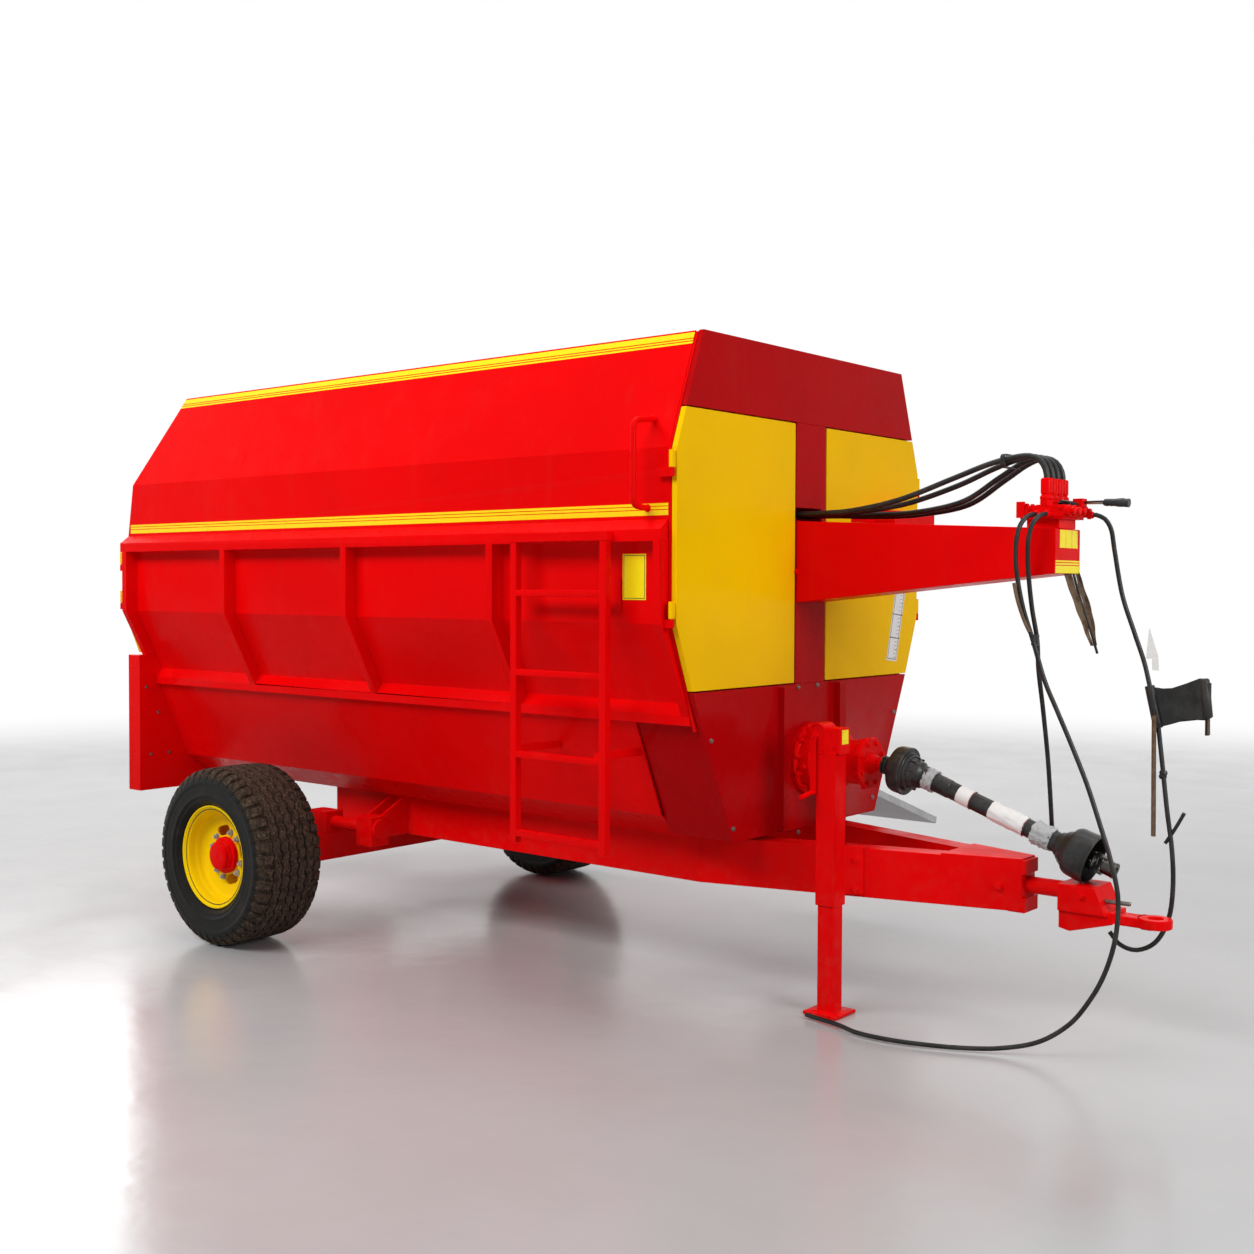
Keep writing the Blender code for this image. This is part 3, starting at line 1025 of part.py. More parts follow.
def arm():
    """Tapered arm on the column, with the valve block at its tip."""
    outline = (
        (GAP, ARM_ROOT_Z[0]),
        (GAP, ARM_ROOT_Z[1]),
        (ARM_TIP_X, ARM_TIP_Z[1]),
        (ARM_TIP_X, ARM_TIP_Z[0]),
    )
    node("hose_arm", RED, [prism("xz", outline, -COLUMN_HALF, COLUMN_HALF)])

    fall = (ARM_ROOT_Z[1] - ARM_TIP_Z[1]) / (ARM_TIP_X - GAP)

    def top_at(x):
        return ARM_ROOT_Z[1] - fall * (x - GAP) + 2 * GAP

    base_x = (VALVE_X[0] + 0.025, ARM_TIP_X - BITE)
    base_line = (
        (base_x[0], top_at(base_x[0])),
        (base_x[1], top_at(base_x[1])),
        (base_x[1], VALVE_Z[0] + BITE),
        (base_x[0], VALVE_Z[0] + BITE),
    )
    pieces = [box((VALVE_X[0], -0.105, VALVE_Z[0]), (VALVE_X[1], 0.095, VALVE_Z[1])), prism("xz", base_line, -0.070, 0.070)]
    for y in STUB_YS:
        pieces.append(rod((STUB_X, y, VALVE_Z[1] - BITE), (STUB_X, y, STUB_TOP_Z), STUB_RADIUS, sides=16))
        pieces.append(rod((STUB_X, y, VALVE_Z[1] - BITE), (STUB_X, y, VALVE_Z[1] + 0.036), STUB_COLLAR_RADIUS, sides=16))
    for y in SPOOL_YS:
        pieces.append(rod((VALVE_X[0] + 0.006, y, VALVE_Z[1]), (VALVE_X[1] - 0.012, y, VALVE_Z[1]), SPOOL_RADIUS, sides=16))
    pieces.append(box((LEVER_X[0] - 0.035, LEVER_Y - 0.020, VALVE_Z[1] - BITE), (LEVER_X[0], LEVER_Y + 0.020, VALVE_Z[1] + 0.030)))
    node("valve_block", RED, pieces)
    lever = rod((LEVER_X[0] + GAP, LEVER_Y, LEVER_Z), (LEVER_X[1] + CLEAR, LEVER_Y, LEVER_Z), 0.006, sides=12)
    knob = rod((LEVER_X[1], LEVER_Y, LEVER_Z), (LEVER_X[2], LEVER_Y, LEVER_Z - 0.006), 0.011, 0.015, sides=16)
    node("valve_lever", BLACK, [lever, knob])


def gearbox():
    """Planetary gearbox on the lower panel, with its input shaft."""
    z = GEARBOX_Z
    flange = rod((GAP, 0.0, z), (0.022, 0.0, z), 0.141, sides=32)
    body = rod((0.020, 0.0, z), (0.160, 0.0, z), 0.120, sides=32)
    front = rod((0.157, 0.0, z), (0.285, 0.0, z), 0.084, sides=32)
    front_flange = rod((0.262, 0.0, z), (0.280, 0.0, z), 0.098, sides=32)
    shaft = rod((0.282, 0.0, z), (GEARBOX_SHAFT_X, 0.0, z), 0.022)
    seal = rod((0.282, 0.0, z), (0.300, 0.0, z), 0.038)
    node("gearbox", RED, [flange, body, front, front_flange, seal, shaft])


def driveline():
    """Guarded shaft from the gearbox to the hitch."""
    rear_start, rear_end = Vector((GEARBOX_SHAFT_X + GAP, 0.0, GEARBOX_Z)), Vector((0.510, 0.0, GEARBOX_Z - 0.030))
    tube_start, tube_end = Vector((0.511, 0.0, GEARBOX_Z - 0.034)), Vector((HITCH_HEAD_X[0] - 0.003, 0.0, HITCH_BAR_Z + 0.1495))
    along = (tube_end - tube_start).normalized()
    front_end = tube_end + along * 0.110
    yoke_end = front_end + along * 0.085
    neck = rear_start + Vector((0.022, 0.0, 0.0))
    shoulder = Vector((GEARBOX_SHAFT_X + 0.065, 0.0, GEARBOX_Z - 0.012))
    rear = [
        rod(rear_start, neck, 0.036),
        rod(neck - Vector((BITE, 0.0, 0.0)), shoulder, 0.036, 0.083),
        rod(shoulder - along * BITE, rear_end, 0.083, 0.078),
    ]
    node("driveline_rear_guard", BLACK, rear)
    start = tube_start + along * 0.016
    node("driveline_tube", BLACK, [rod(start, tube_end - along * GAP, 0.0325)])
    front = [rod(tube_end, tube_end + along * 0.035, 0.045, 0.078), rod(tube_end + along * 0.032, front_end, 0.078, 0.083)]
    node("driveline_front_guard", BLACK, front)
    yoke = rod(front_end + along * GAP, yoke_end, 0.028)
    node("driveline_yoke", STEEL, [yoke])


def jack():
    """Parking jack on the right drawbar beam."""
    half = JACK_SIDE / 2
    low, high = JACK_OUTER_Z
    outer = box((JACK_X - half, JACK_Y - half, low), (JACK_X + half, JACK_Y + half, high))
    case_x = JACK_X + JACK_HEAD_X[0] + JACK_HEAD_RADIUS
    case_z = JACK_HEAD_TOP_Z - JACK_HEAD_RADIUS
    case_ends = (case_x - JACK_HEAD_RADIUS, case_x + JACK_HEAD_RADIUS)
    head = [
        box((case_ends[0], JACK_Y - half, high - BITE), (case_ends[1], JACK_Y + half, case_z)),
        rod((case_x, JACK_Y - half, case_z), (case_x, JACK_Y + half, case_z), JACK_HEAD_RADIUS, sides=24),
        box((case_ends[1] - BITE, JACK_Y - half + CLEAR, high - BITE), (JACK_X + JACK_HEAD_X[1], JACK_Y + half - CLEAR, JACK_HEAD_TOP_Z - 0.016)),
    ]
    inner = half - JACK_WALL
    hollow = box((JACK_X - inner, JACK_Y - inner, low + JACK_COLLAR), (JACK_X + inner, JACK_Y + inner, high - 0.006))
    sleeve = JACK_LEG_SIDE / 2 + GAP
    mouth = box((JACK_X - sleeve, JACK_Y - sleeve, low - CLEAR), (JACK_X + sleeve, JACK_Y + sleeve, low + JACK_COLLAR + CLEAR))
    slope = (BEAM_OUTER - DRAWBAR_TIP_HALF) / (DRAWBAR_TIP_X - CHASSIS_BEND_X)
    clamp_x = (JACK_X - half + 0.006, JACK_X + half + 0.052)
    beam_y = [-(BEAM_OUTER - slope * (x - CHASSIS_BEND_X)) - 2 * GAP for x in clamp_x]
    clamp_line = (
        (clamp_x[0], JACK_Y + half - BITE),
        (clamp_x[0], beam_y[0]),
        (clamp_x[1], beam_y[1]),
        (clamp_x[1], beam_y[1] - 0.014),
        (JACK_X + half, JACK_Y + half - BITE),
    )
    clamp = prism("xy", clamp_line, CHASSIS_BOTTOM_Z + 0.012, CHASSIS_TOP_Z + 0.010)
    node("jack_outer", RED, [outer, *head, clamp], [hollow, mouth])

    leg_half = JACK_LEG_SIDE / 2
    leg = box((JACK_X - leg_half, JACK_Y - leg_half, JACK_FOOT_THICKNESS - BITE), (JACK_X + leg_half, JACK_Y + leg_half, JACK_LEG_TOP_Z))
    foot = box((JACK_X - JACK_FOOT / 2, JACK_Y - JACK_FOOT / 2, 0.0), (JACK_X + JACK_FOOT / 2, JACK_Y + JACK_FOOT / 2, JACK_FOOT_THICKNESS))
    node("jack_leg", RED, [leg, foot], origin=(JACK_X, JACK_Y, 0.0))

    side_y = JACK_Y - half - GAP
    handle = tube(
        (
            (JACK_X - 0.045, side_y, case_z - 0.012),
            (JACK_X - 0.045, side_y - 0.022, case_z - 0.012),
            (JACK_X - 0.045, side_y - 0.026, case_z - 0.042),
            (JACK_X - 0.045, side_y - 0.026, case_z - 0.232),
            (JACK_X - 0.048, side_y - 0.034, case_z - 0.252),
            (JACK_X - 0.052, side_y - 0.100, case_z - 0.262),
        ),
        0.009,
    )
    node("jack_crank", RED, [handle])


def indicator_box():
    """Shelf of the load display on the left front door."""
    bracket_piece = box((GAP, 0.300, 1.826), (0.026, 0.774, 1.868))
    hood = box((0.020, 0.430, 1.800), (0.126, 0.774, 1.876))
    return node("indicator_box", RED, [bracket_piece, hood], origin=(FRONT_AXIS_X, HINGE_Y, FRONT_HINGES[-1]))


def smoothed(stops, spacing):
    """Points evenly spaced along a smooth curve through the stops."""
    places = [Vector(stop) for stop in stops]
    places = [2 * places[0] - places[1], *places, 2 * places[-1] - places[-2]]
    fine = []
    for a, b, c, d in zip(places, places[1:], places[2:], places[3:]):
        for step in range(12):
            t = step / 12
            fine.append(
                0.5 * (2 * b + (c - a) * t + (2 * a - 5 * b + 4 * c - d) * t**2 + (3 * b - a - 3 * c + d) * t**3)
            )
    fine.append(places[-2])
    lengths = [0.0]
    for a, b in zip(fine, fine[1:]):
        lengths.append(lengths[-1] + (b - a).length)
    count = max(2, round(lengths[-1] / spacing))
    even = []
    index = 0
    for step in range(count + 1):
        wanted = lengths[-1] * step / count
        while index < len(fine) - 2 and lengths[index + 1] < wanted:
            index += 1
        share = (wanted - lengths[index]) / (lengths[index + 1] - lengths[index])
        even.append(fine[index].lerp(fine[index + 1], share))
    return even


def routed(ways, radius):
    """Points along smooth runs joined by straight ones."""
    points = []
    for stops in ways:
        if len(stops) > 1:
            points += smoothed(stops, HOSE_STEP * radius)
        else:
            points.append(Vector(stops[0]))
    return points


def hoses():
    """Bundle from the column to the valve block, and the loose hoses from its other side."""
    for number, (way, y) in enumerate(zip(BUNDLE_STOPS, STUB_YS), 1):
        bend = (*BUNDLE_BEND, (STUB_X, STUB_TOP_Z + STUB_LEAD))
        stops = [(x, y, z) for x, z in (*way, *bend)]
        end = (STUB_X, y, STUB_TOP_Z + GAP)
        node(f"hose_bundle_{number}", BLACK, [tube(routed((stops, (end,)), BUNDLE_RADIUS), BUNDLE_RADIUS)])
    for name, ways in HOSE_WAYS.items():
        node(name, BLACK, [tube(routed(ways, HOSE_RADIUS), HOSE_RADIUS)])


def hose_holder():
    """Folded rubber sheet whose sleeve grips the front hose."""
    top, foot = (Vector(HOSE_WAYS["hose_front"][index][end]) for index, end in ((1, -1), (2, 0)))
    share = (foot - top) * 0.04
    sleeve = rod(top + share, foot - share, 0.016, sides=16)
    bore = rod(top - share, foot + share, HOSE_RADIUS + GAP, sides=16)
    far = HOLDER_FAR_X
    middle_y = top.y
    wave = ((1.318, 0.0), (1.360, 0.005), (1.420, -0.006), (far, 0.0))
    sheet_line = [(x, middle_y + y + 0.002) for x, y in wave] + [(x, middle_y + y - 0.002) for x, y in reversed(wave)]
    sheet = prism("xy", sheet_line, 1.122, 1.218)
    far_sleeve = rod((far, middle_y, 1.130), (far, middle_y, 1.248), 0.012, sides=16)
    strap = rod((1.314, 0.102, 1.150), (1.318, 0.100, 0.720), 0.006, sides=8)
    stub = rod((far, middle_y, 1.072), (far, middle_y, 1.135), 0.007, sides=8)
    node("hose_holder", BLACK, [sleeve, sheet, far_sleeve, strap, stub], [bore])


for wagon_side in (1, -1):
    side_wall(wagon_side)
    front_door(wagon_side)
    rear_door(wagon_side)
    wheel(wagon_side)
hopper()
discharge()
augers()
front_covers()
rear_housing()
chassis()
hitch()
axle()
ladder()
arm()
gearbox()
driveline()
jack()
indicator_box()
hoses()
hose_holder()
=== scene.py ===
import json
from math import atan2, cos, pi, radians, sin, tau

import bmesh
import bpy
from mathutils import Matrix, Vector, noise

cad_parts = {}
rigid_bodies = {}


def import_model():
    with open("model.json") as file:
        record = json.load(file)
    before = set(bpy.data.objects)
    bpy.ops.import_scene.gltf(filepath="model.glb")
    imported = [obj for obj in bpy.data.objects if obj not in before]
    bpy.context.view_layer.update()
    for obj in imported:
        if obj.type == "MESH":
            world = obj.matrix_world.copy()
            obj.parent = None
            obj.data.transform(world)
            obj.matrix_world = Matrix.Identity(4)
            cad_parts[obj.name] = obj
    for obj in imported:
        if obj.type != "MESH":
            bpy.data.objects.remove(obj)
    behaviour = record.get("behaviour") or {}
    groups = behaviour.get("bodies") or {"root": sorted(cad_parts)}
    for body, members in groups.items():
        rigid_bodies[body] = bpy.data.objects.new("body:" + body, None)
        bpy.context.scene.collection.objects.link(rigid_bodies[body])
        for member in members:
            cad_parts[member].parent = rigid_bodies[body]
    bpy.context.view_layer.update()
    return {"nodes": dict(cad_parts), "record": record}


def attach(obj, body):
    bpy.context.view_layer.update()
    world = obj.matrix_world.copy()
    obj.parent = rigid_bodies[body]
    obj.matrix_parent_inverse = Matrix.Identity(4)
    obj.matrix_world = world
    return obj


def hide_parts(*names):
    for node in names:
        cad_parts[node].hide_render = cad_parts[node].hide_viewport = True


for item in list(bpy.data.objects):
    bpy.data.objects.remove(item)
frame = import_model()
bodyFront = 1.05                        # the case's front face, along x
merge = .00002                          # points nearer than this become one
bodyOf = {node: body for body, nodes in frame["record"]["behaviour"]["bodies"].items() for node in nodes}


def newObject(name, data):
    item = bpy.data.objects.new(name, data)
    bpy.context.scene.collection.objects.link(item)
    return item


# camera and light

photoCamera = {"focal": 1464.69, "pixels": 1254, "place": (3.1044, -4.8721, 1.5683),
               "yaw": .6918, "pitch": .0289, "roll": .0037, "sensor": 36}


def makeCamera(look):
    data = bpy.data.cameras.new("camera")
    data.sensor_width = look["sensor"]
    data.lens = look["focal"] / look["pixels"] * look["sensor"]
    camera = newObject("camera", data)
    yaw, pitch, roll = look["yaw"], look["pitch"], look["roll"]
    ahead = Vector((-sin(yaw) * cos(pitch), cos(yaw) * cos(pitch), -sin(pitch)))
    level = Vector((cos(yaw), sin(yaw), 0))
    upright = level.cross(ahead)
    across = cos(roll) * level + sin(roll) * upright
    up = -sin(roll) * level + cos(roll) * upright
    turn = Matrix((across, up, -ahead)).transposed()
    place = Vector(look["place"]) + Vector((bodyFront, 0, 0))
    camera.matrix_world = Matrix.Translation(place) @ turn.to_4x4()
    bpy.context.scene.camera = camera


makeCamera(photoCamera)

lamps = {
    "side": {"place": (-1.2, -6.0, 5.9), "aim": (-.6, 0, 1.2), "size": (6.5, 2.6), "power": 470,
             "mirrored": False},
    "front": {"place": (7.5, -1.0, 3.6), "aim": (.8, 0, 1.2), "size": (3.0, 2.6), "power": 235},
    "ceiling": {"place": (0, .3, 6.8), "aim": (0, 0, 0), "size": (7.0, 4.5), "power": 200},
    "back": {"place": (-2.0, 7.0, 4.2), "aim": (0, 0, 1.2), "size": (6.0, 2.6), "power": 240,
             "mirrored": False},
    "rear": {"place": (-7.5, 1.0, 3.6), "aim": (-1, 0, 1.2), "size": (3.0, 2.6), "power": 130},
}


def makeLamp(name, look):
    data = bpy.data.lights.new(name, "AREA")
    data.shape = "RECTANGLE"
    data.size, data.size_y = look["size"]
    data.energy = look["power"]
    lamp = newObject(name, data)
    lamp.visible_glossy = look.get("mirrored", True)
    toward = Vector(look["aim"]) - Vector(look["place"])
    turn = toward.to_track_quat("-Z", "Y").to_matrix().to_4x4()
    lamp.matrix_world = Matrix.Translation(look["place"]) @ turn


for name, lampLook in lamps.items():
    makeLamp(name, lampLook)
print("camera and lamps placed")


def addNode(tree, kind, inputs=None, **settings):
    # a shader node with its settings; an input is a value or another node's output
    node = tree.nodes.new(kind)
    for key, value in settings.items():
        setattr(node, key, value)
    for key, value in (inputs or {}).items():
        if isinstance(value, bpy.types.NodeSocket):
            tree.links.new(value, node.inputs[key])
        else:
            node.inputs[key].default_value = value
    return node


def objectPlace(tree, scale=(1, 1, 1), turn=(0, 0, 0), move=(0, 0, 0)):
    coordinates = addNode(tree, "ShaderNodeTexCoord")
    mapping = addNode(tree, "ShaderNodeMapping", {
        "Vector": coordinates.outputs["Object"], "Scale": scale, "Rotation": turn, "Location": move})
    return mapping.outputs[0]


def noiseIn(tree, scale, detail=3, roughness=.5, stretch=(1, 1, 1), turn=(0, 0, 0)):
    return addNode(tree, "ShaderNodeTexNoise", {
        "Vector": objectPlace(tree, stretch, turn), "Scale": scale, "Detail": detail,
        "Roughness": roughness}).outputs["Fac"]


def fitted(tree, value, low, high, start=0.0, end=1.0, smooth=True):
    # the value's stretch from low to high becomes start to end
    return addNode(tree, "ShaderNodeMapRange", {
        "Value": value, "From Min": low, "From Max": high, "To Min": start, "To Max": end},
        interpolation_type="SMOOTHSTEP" if smooth else "LINEAR").outputs[0]


def product(tree, first, second, operation="MULTIPLY"):
    return addNode(tree, "ShaderNodeMath", {0: first, 1: second}, operation=operation).outputs[0]


def blended(tree, factor, first, second):
    node = addNode(tree, "ShaderNodeMix", {0: factor}, data_type="RGBA")
    for key, value in ((6, first), (7, second)):
        if isinstance(value, bpy.types.NodeSocket):
            tree.links.new(value, node.inputs[key])
        else:
            node.inputs[key].default_value = (*value, 1)
    return node.outputs[2]


def bumped(tree, shader, height, distance, strength=1.0, below=None):
    inputs = {"Height": height, "Distance": distance, "Strength": strength}
    if below is not None:
        inputs["Normal"] = below
    normal = addNode(tree, "ShaderNodeBump", inputs).outputs[0]
    tree.links.new(normal, shader.inputs["Normal"])
    return normal


def newFinish(name, colour, roughness, metallic=0.0, **constants):
    material = bpy.data.materials.new(name)
    material.use_nodes = True
    shader = material.node_tree.nodes["Principled BSDF"]
    shader.inputs["Base Color"].default_value = (*colour, 1)
    shader.inputs["Roughness"].default_value = roughness
    shader.inputs["Metallic"].default_value = metallic
    for key, value in constants.items():
        shader.inputs[key.replace("_", " ")].default_value = value
    return material, material.node_tree, shader


def shaded(tree, shader, colourOut=None, roughnessOut=None):
    if colourOut is not None:
        tree.links.new(colourOut, shader.inputs["Base Color"])
    if roughnessOut is not None:
        tree.links.new(roughnessOut, shader.inputs["Roughness"])


# paints and other finishes

paintLook = {
    "orangePeel": 420, "peelDepth": .00003, "wave": 2.3, "waveDepth": .0035, "fade": .90,
    "dust": (.30, .16, .11), "dustTop": .80, "dustMost": .045, "runs": .025, "coat": .015, "specular": .030,
}


def paint(name, colour, roughness=(.24, .40), wave=1.0, dust=1.0):
    # sprayed gloss paint: orange peel, slightly wavy sheet, fade and road dust low down
    look = paintLook
    material, tree, shader = newFinish(name, colour, .3, **{
        "Coat Weight": look["coat"], "Coat Roughness": .05, "Specular IOR Level": look["specular"]})
    patches = noiseIn(tree, 1.6, 4)
    streaks = noiseIn(tree, 5, 3, .6, stretch=(3, 3, .35))
    deeper = tuple(part * look["fade"] for part in colour)
    tone = blended(tree, fitted(tree, patches, .35, .70), colour, deeper)
    height = addNode(tree, "ShaderNodeSeparateXYZ", {0: objectPlace(tree)}).outputs[2]
    low = fitted(tree, height, look["dustTop"], .15)
    speck = fitted(tree, noiseIn(tree, 26, 6, .65), .42, .72)
    dirt = product(tree, product(tree, low, speck), look["dustMost"] * 2.2 * dust)
    runs = product(tree, fitted(tree, streaks, .52, .80), look["runs"] * dust)
    tone = blended(tree, product(tree, dirt, runs, "MAXIMUM"), tone, look["dust"])
    gloss = fitted(tree, noiseIn(tree, 9, 5, .6), .3, .7, roughness[0], roughness[1])
    shaded(tree, shader, tone, product(tree, gloss, product(tree, dirt, .6), "ADD"))
    wavy = bumped(tree, shader, noiseIn(tree, look["wave"], 2), look["waveDepth"] * wave)
    bumped(tree, shader, noiseIn(tree, look["orangePeel"], 2), look["peelDepth"], below=wavy)
    return material


def rubber(name, colour, roughness, grain, depth, stain, stainScale, stainMost):
    # rubber or moulded plastic with dried dirt on it
    material, tree, shader = newFinish(name, colour, roughness[0], **{"Specular IOR Level": .3})
    worn = tuple(min(1, part * 1.6 + .003) for part in colour)
    tone = blended(tree, fitted(tree, noiseIn(tree, 14, 4), .3, .7), colour, worn)
    where = fitted(tree, noiseIn(tree, stainScale, 7, .68), .42, .66, 0, stainMost)
    tone = blended(tree, where, tone, stain)
    shaded(tree, shader, tone, fitted(tree, noiseIn(tree, 30, 5), .3, .7, *roughness))
    bumped(tree, shader, noiseIn(tree, grain, 4, .6), depth)
    return material


def treadRubber(name, axle):
    # mud-worn brown tread, tan on its edges, and a smooth black side
    material, tree, shader = newFinish(name, (.012, .011, .010), .5, **{"Specular IOR Level": .16})
    off = addNode(tree, "ShaderNodeSeparateXYZ", {0: objectPlace(tree, move=(-axle[0], 0, -axle[1]))})
    squares = [product(tree, off.outputs[axis], 2.0, "POWER") for axis in (0, 2)]
    reach = product(tree, product(tree, *squares, "ADD"), .5, "POWER")
    tread = fitted(tree, product(tree, reach, product(tree, noiseIn(tree, 22, 5), .02), "ADD"), .352, .366)
    mud = fitted(tree, noiseIn(tree, 34, 8, .7), .36, .62)
    brown = blended(tree, mud, (.016, .011, .008), (.048, .033, .023))
    tan = fitted(tree, noiseIn(tree, 90, 6, .7), .50, .66, 0, .55)
    brown = blended(tree, tan, brown, (.17, .115, .075))
    soiled = fitted(tree, noiseIn(tree, 12, 6, .6), .50, .75, 0, .5)
    side = blended(tree, soiled, (.0060, .0055, .0050), (.026, .021, .017))
    tone = blended(tree, tread, side, brown)
    shaded(tree, shader, tone, fitted(tree, tread, 0, 1, .46, .82))
    bumped(tree, shader, noiseIn(tree, 130, 6, .7), .0009)
    return material


def metal(name, colour, roughness, brush=(1, 1, 1), rust=(.10, .06, .03), rustMost=.4, depth=.0002,
          scale=60):
    # worked steel: fine lines along the brush direction, and rust in patches
    material, tree, shader = newFinish(name, colour, roughness[0], 1.0)
    lines = noiseIn(tree, scale, 5, .6, stretch=brush)
    tone = blended(tree, fitted(tree, lines, .3, .7), colour, tuple(part * .72 for part in colour))
    gloss = fitted(tree, lines, .25, .75, *roughness)
    where = fitted(tree, noiseIn(tree, 9, 8, .65), .50, .66, 0, rustMost)
    tone = blended(tree, where, tone, rust)
    gloss = product(tree, gloss, product(tree, where, .35), "ADD")
    shaded(tree, shader, tone, gloss)
    bumped(tree, shader, lines, depth)
    return material


def spangled(name):
    # hot-dip zinc: large dull crystals
    material, tree, shader = newFinish(name, (.52, .53, .53), .42, .85)
    cells = addNode(tree, "ShaderNodeTexVoronoi", {"Vector": objectPlace(tree), "Scale": 55}).outputs["Color"]
    bright = addNode(tree, "ShaderNodeSeparateColor", {0: cells}).outputs[0]
    tone = blended(tree, bright, (.42, .43, .44), (.50, .51, .51))
    tone = blended(tree, fitted(tree, noiseIn(tree, 6, 6), .5, .75, 0, .35), tone, (.30, .27, .22))
    shaded(tree, shader, tone, fitted(tree, bright, 0, 1, .40, .50))
    bumped(tree, shader, noiseIn(tree, 120, 3), .0001)
    return material


def printed(name, colour, roughness=.35, crumple=0.0):
    # a sticker or plate with slight soiling
    material, tree, shader = newFinish(name, colour, roughness, **{"Specular IOR Level": .25})
    soiled = tuple(part * .70 for part in colour)
    tone = blended(tree, fitted(tree, noiseIn(tree, 24, 6), .45, .8, 0, .22), colour, soiled)
    shaded(tree, shader, tone, fitted(tree, noiseIn(tree, 60, 3), .3, .7, roughness - .06, roughness + .14))
    bumped(tree, shader, noiseIn(tree, 90 if crumple else 300, 4), .00003 + crumple)
    return material


# the second red is the same red paint darkened: painted shade for the front panels, which face away from the
# main lamp
red, paintedShadeRed, yellow = (.82, .0010, .0018), (.46, .0012, .0028), (.97, .56, .0010)
finishes = {
    "red": paint("redPaint", red),
    "redFront": paint("redPaintFrontShaded", paintedShadeRed, (.20, .34)),
    "redFlat": paint("redPaintFlat", red, (.26, .42), .35),
    "yellow": paint("yellowPaint", yellow, (.24, .36), .8, .7),
    "rimYellow": paint("rimYellow", (.98, .66, .003), (.22, .34), .1, .4),
    "zinc": spangled("galvanised"),
    "steel": metal("bareSteel", (.42, .41, .40), (.28, .48), rust=(.16, .075, .035), rustMost=.45),
    "worn": metal("wornSteel", (.40, .38, .36), (.30, .52), (1, 9, 9), (.17, .08, .04), .70, .0004, 34),
    "bolt": metal("boltSteel", (.24, .22, .20), (.35, .55), rust=(.14, .07, .035), rustMost=.6),
    "plastic": rubber("blackPlastic", (.010, .010, .010), (.26, .42), 260, .00006, (.16, .15, .14), 11, .16),
    "hose": rubber("hoseRubber", (.007, .007, .007), (.30, .46), 340, .00006, (.10, .09, .08), 16, .18),
    "tread": treadRubber("treadRubber", (-2.292 + bodyFront, .385)),
    "sheet": rubber("sheetRubber", (.010, .010, .010), (.36, .52), 150, .0002, (.10, .095, .09), 9, .20),
    "strap": rubber("oldStrap", (.085, .050, .028), (.60, .80), 90, .0004, (.22, .15, .095), 30, .55),
    "yellowFilm": printed("stripeYellow", (.98, .72, .004), .30),
    "white": printed("labelWhite", (.80, .80, .79), .38, .00025),
    "film": printed("wrapFilm", (.42, .43, .44), .20, .0012),
    "darkRed": printed("labelRed", (.30, .02, .03), .40),
    "oily": metal("oilySteel", (.085, .080, .075), (.22, .42)),
    "ink": printed("scaleInk", (.03, .03, .035), .40),
    "signYellow": printed("signYellow", (.98, .80, .006), .32),
}
print("finishes made")


# mesh tools; every piece is made in metres from the case's front face, and then moved

def camel(name):
    first, *rest = name.split("_")
    return first + "".join(part.capitalize() for part in rest)


def finished(name, mesh, finish, body="wagon", replaces=(), shift=bodyFront):
    if shift:
        mesh.transform(Matrix.Translation((shift, 0, 0)))
    piece = newObject(name, mesh)
    mesh.materials.clear()
    mesh.materials.append(finishes[finish])
    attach(piece, body)
    if replaces:
        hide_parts(*replaces)
    return piece


def addSolid(shape, outline, offset):
    # a flat outline given thickness along an offset
    low = [shape.verts.new(point) for point in outline]
    high = [shape.verts.new(Vector(point) + Vector(offset)) for point in outline]
    shape.faces.new(low[::-1])
    shape.faces.new(high)
    for index, corner in enumerate(low):
        following = (index + 1) % len(low)
        shape.faces.new((corner, low[following], high[following], high[index]))


def addBlock(shape, low, high):
    x, y, z = low
    addSolid(shape, ((x, y, z), (high[0], y, z), (high[0], high[1], z), (x, high[1], z)), (0, 0, high[2] - z))


def frameOf(start, along):
    # the frame that puts z along a direction
    turn = Vector((0, 0, 1)).rotation_difference(Vector(along))
    return Matrix.Translation(start) @ turn.to_matrix().to_4x4()


def addRing(shape, place, radius, height, steps):
    turns = [tau * step / steps for step in range(steps)]
    points = [Vector((radius * cos(turn), radius * sin(turn), height)) for turn in turns]
    return [shape.verts.new(place @ point) for point in points]


def bridge(shape, rings, closed=False, capped=False):
    # faces from each ring of points to the next
    for low, high in zip(rings, rings[1:] + (rings[:1] if closed else [])):
        for step in range(len(low)):
            following = (step + 1) % len(low)
            shape.faces.new((low[step], low[following], high[following], high[step]))
    if capped:
        shape.faces.new(rings[0][::-1])
        shape.faces.new(rings[-1])


def addLathe(shape, place, profile, steps=48, closed=False):
    # a profile of (radius, height) turned round the frame's z axis
    bridge(shape, [addRing(shape, place, radius, height, steps) for radius, height in profile], closed)


def addBar(shape, start, end, radius, endRadius=None, steps=24, soft=0.0):
    # a round bar or cone, with rounded rims
    along = Vector(end) - Vector(start)
    far = radius if endRadius is None else endRadius
    length = along.length
    profile = ((0, 0), (radius - soft, 0), (radius, soft), (far, length - soft), (far - soft, length),
               (0, length))
    addLathe(shape, frameOf(start, along), profile, steps)


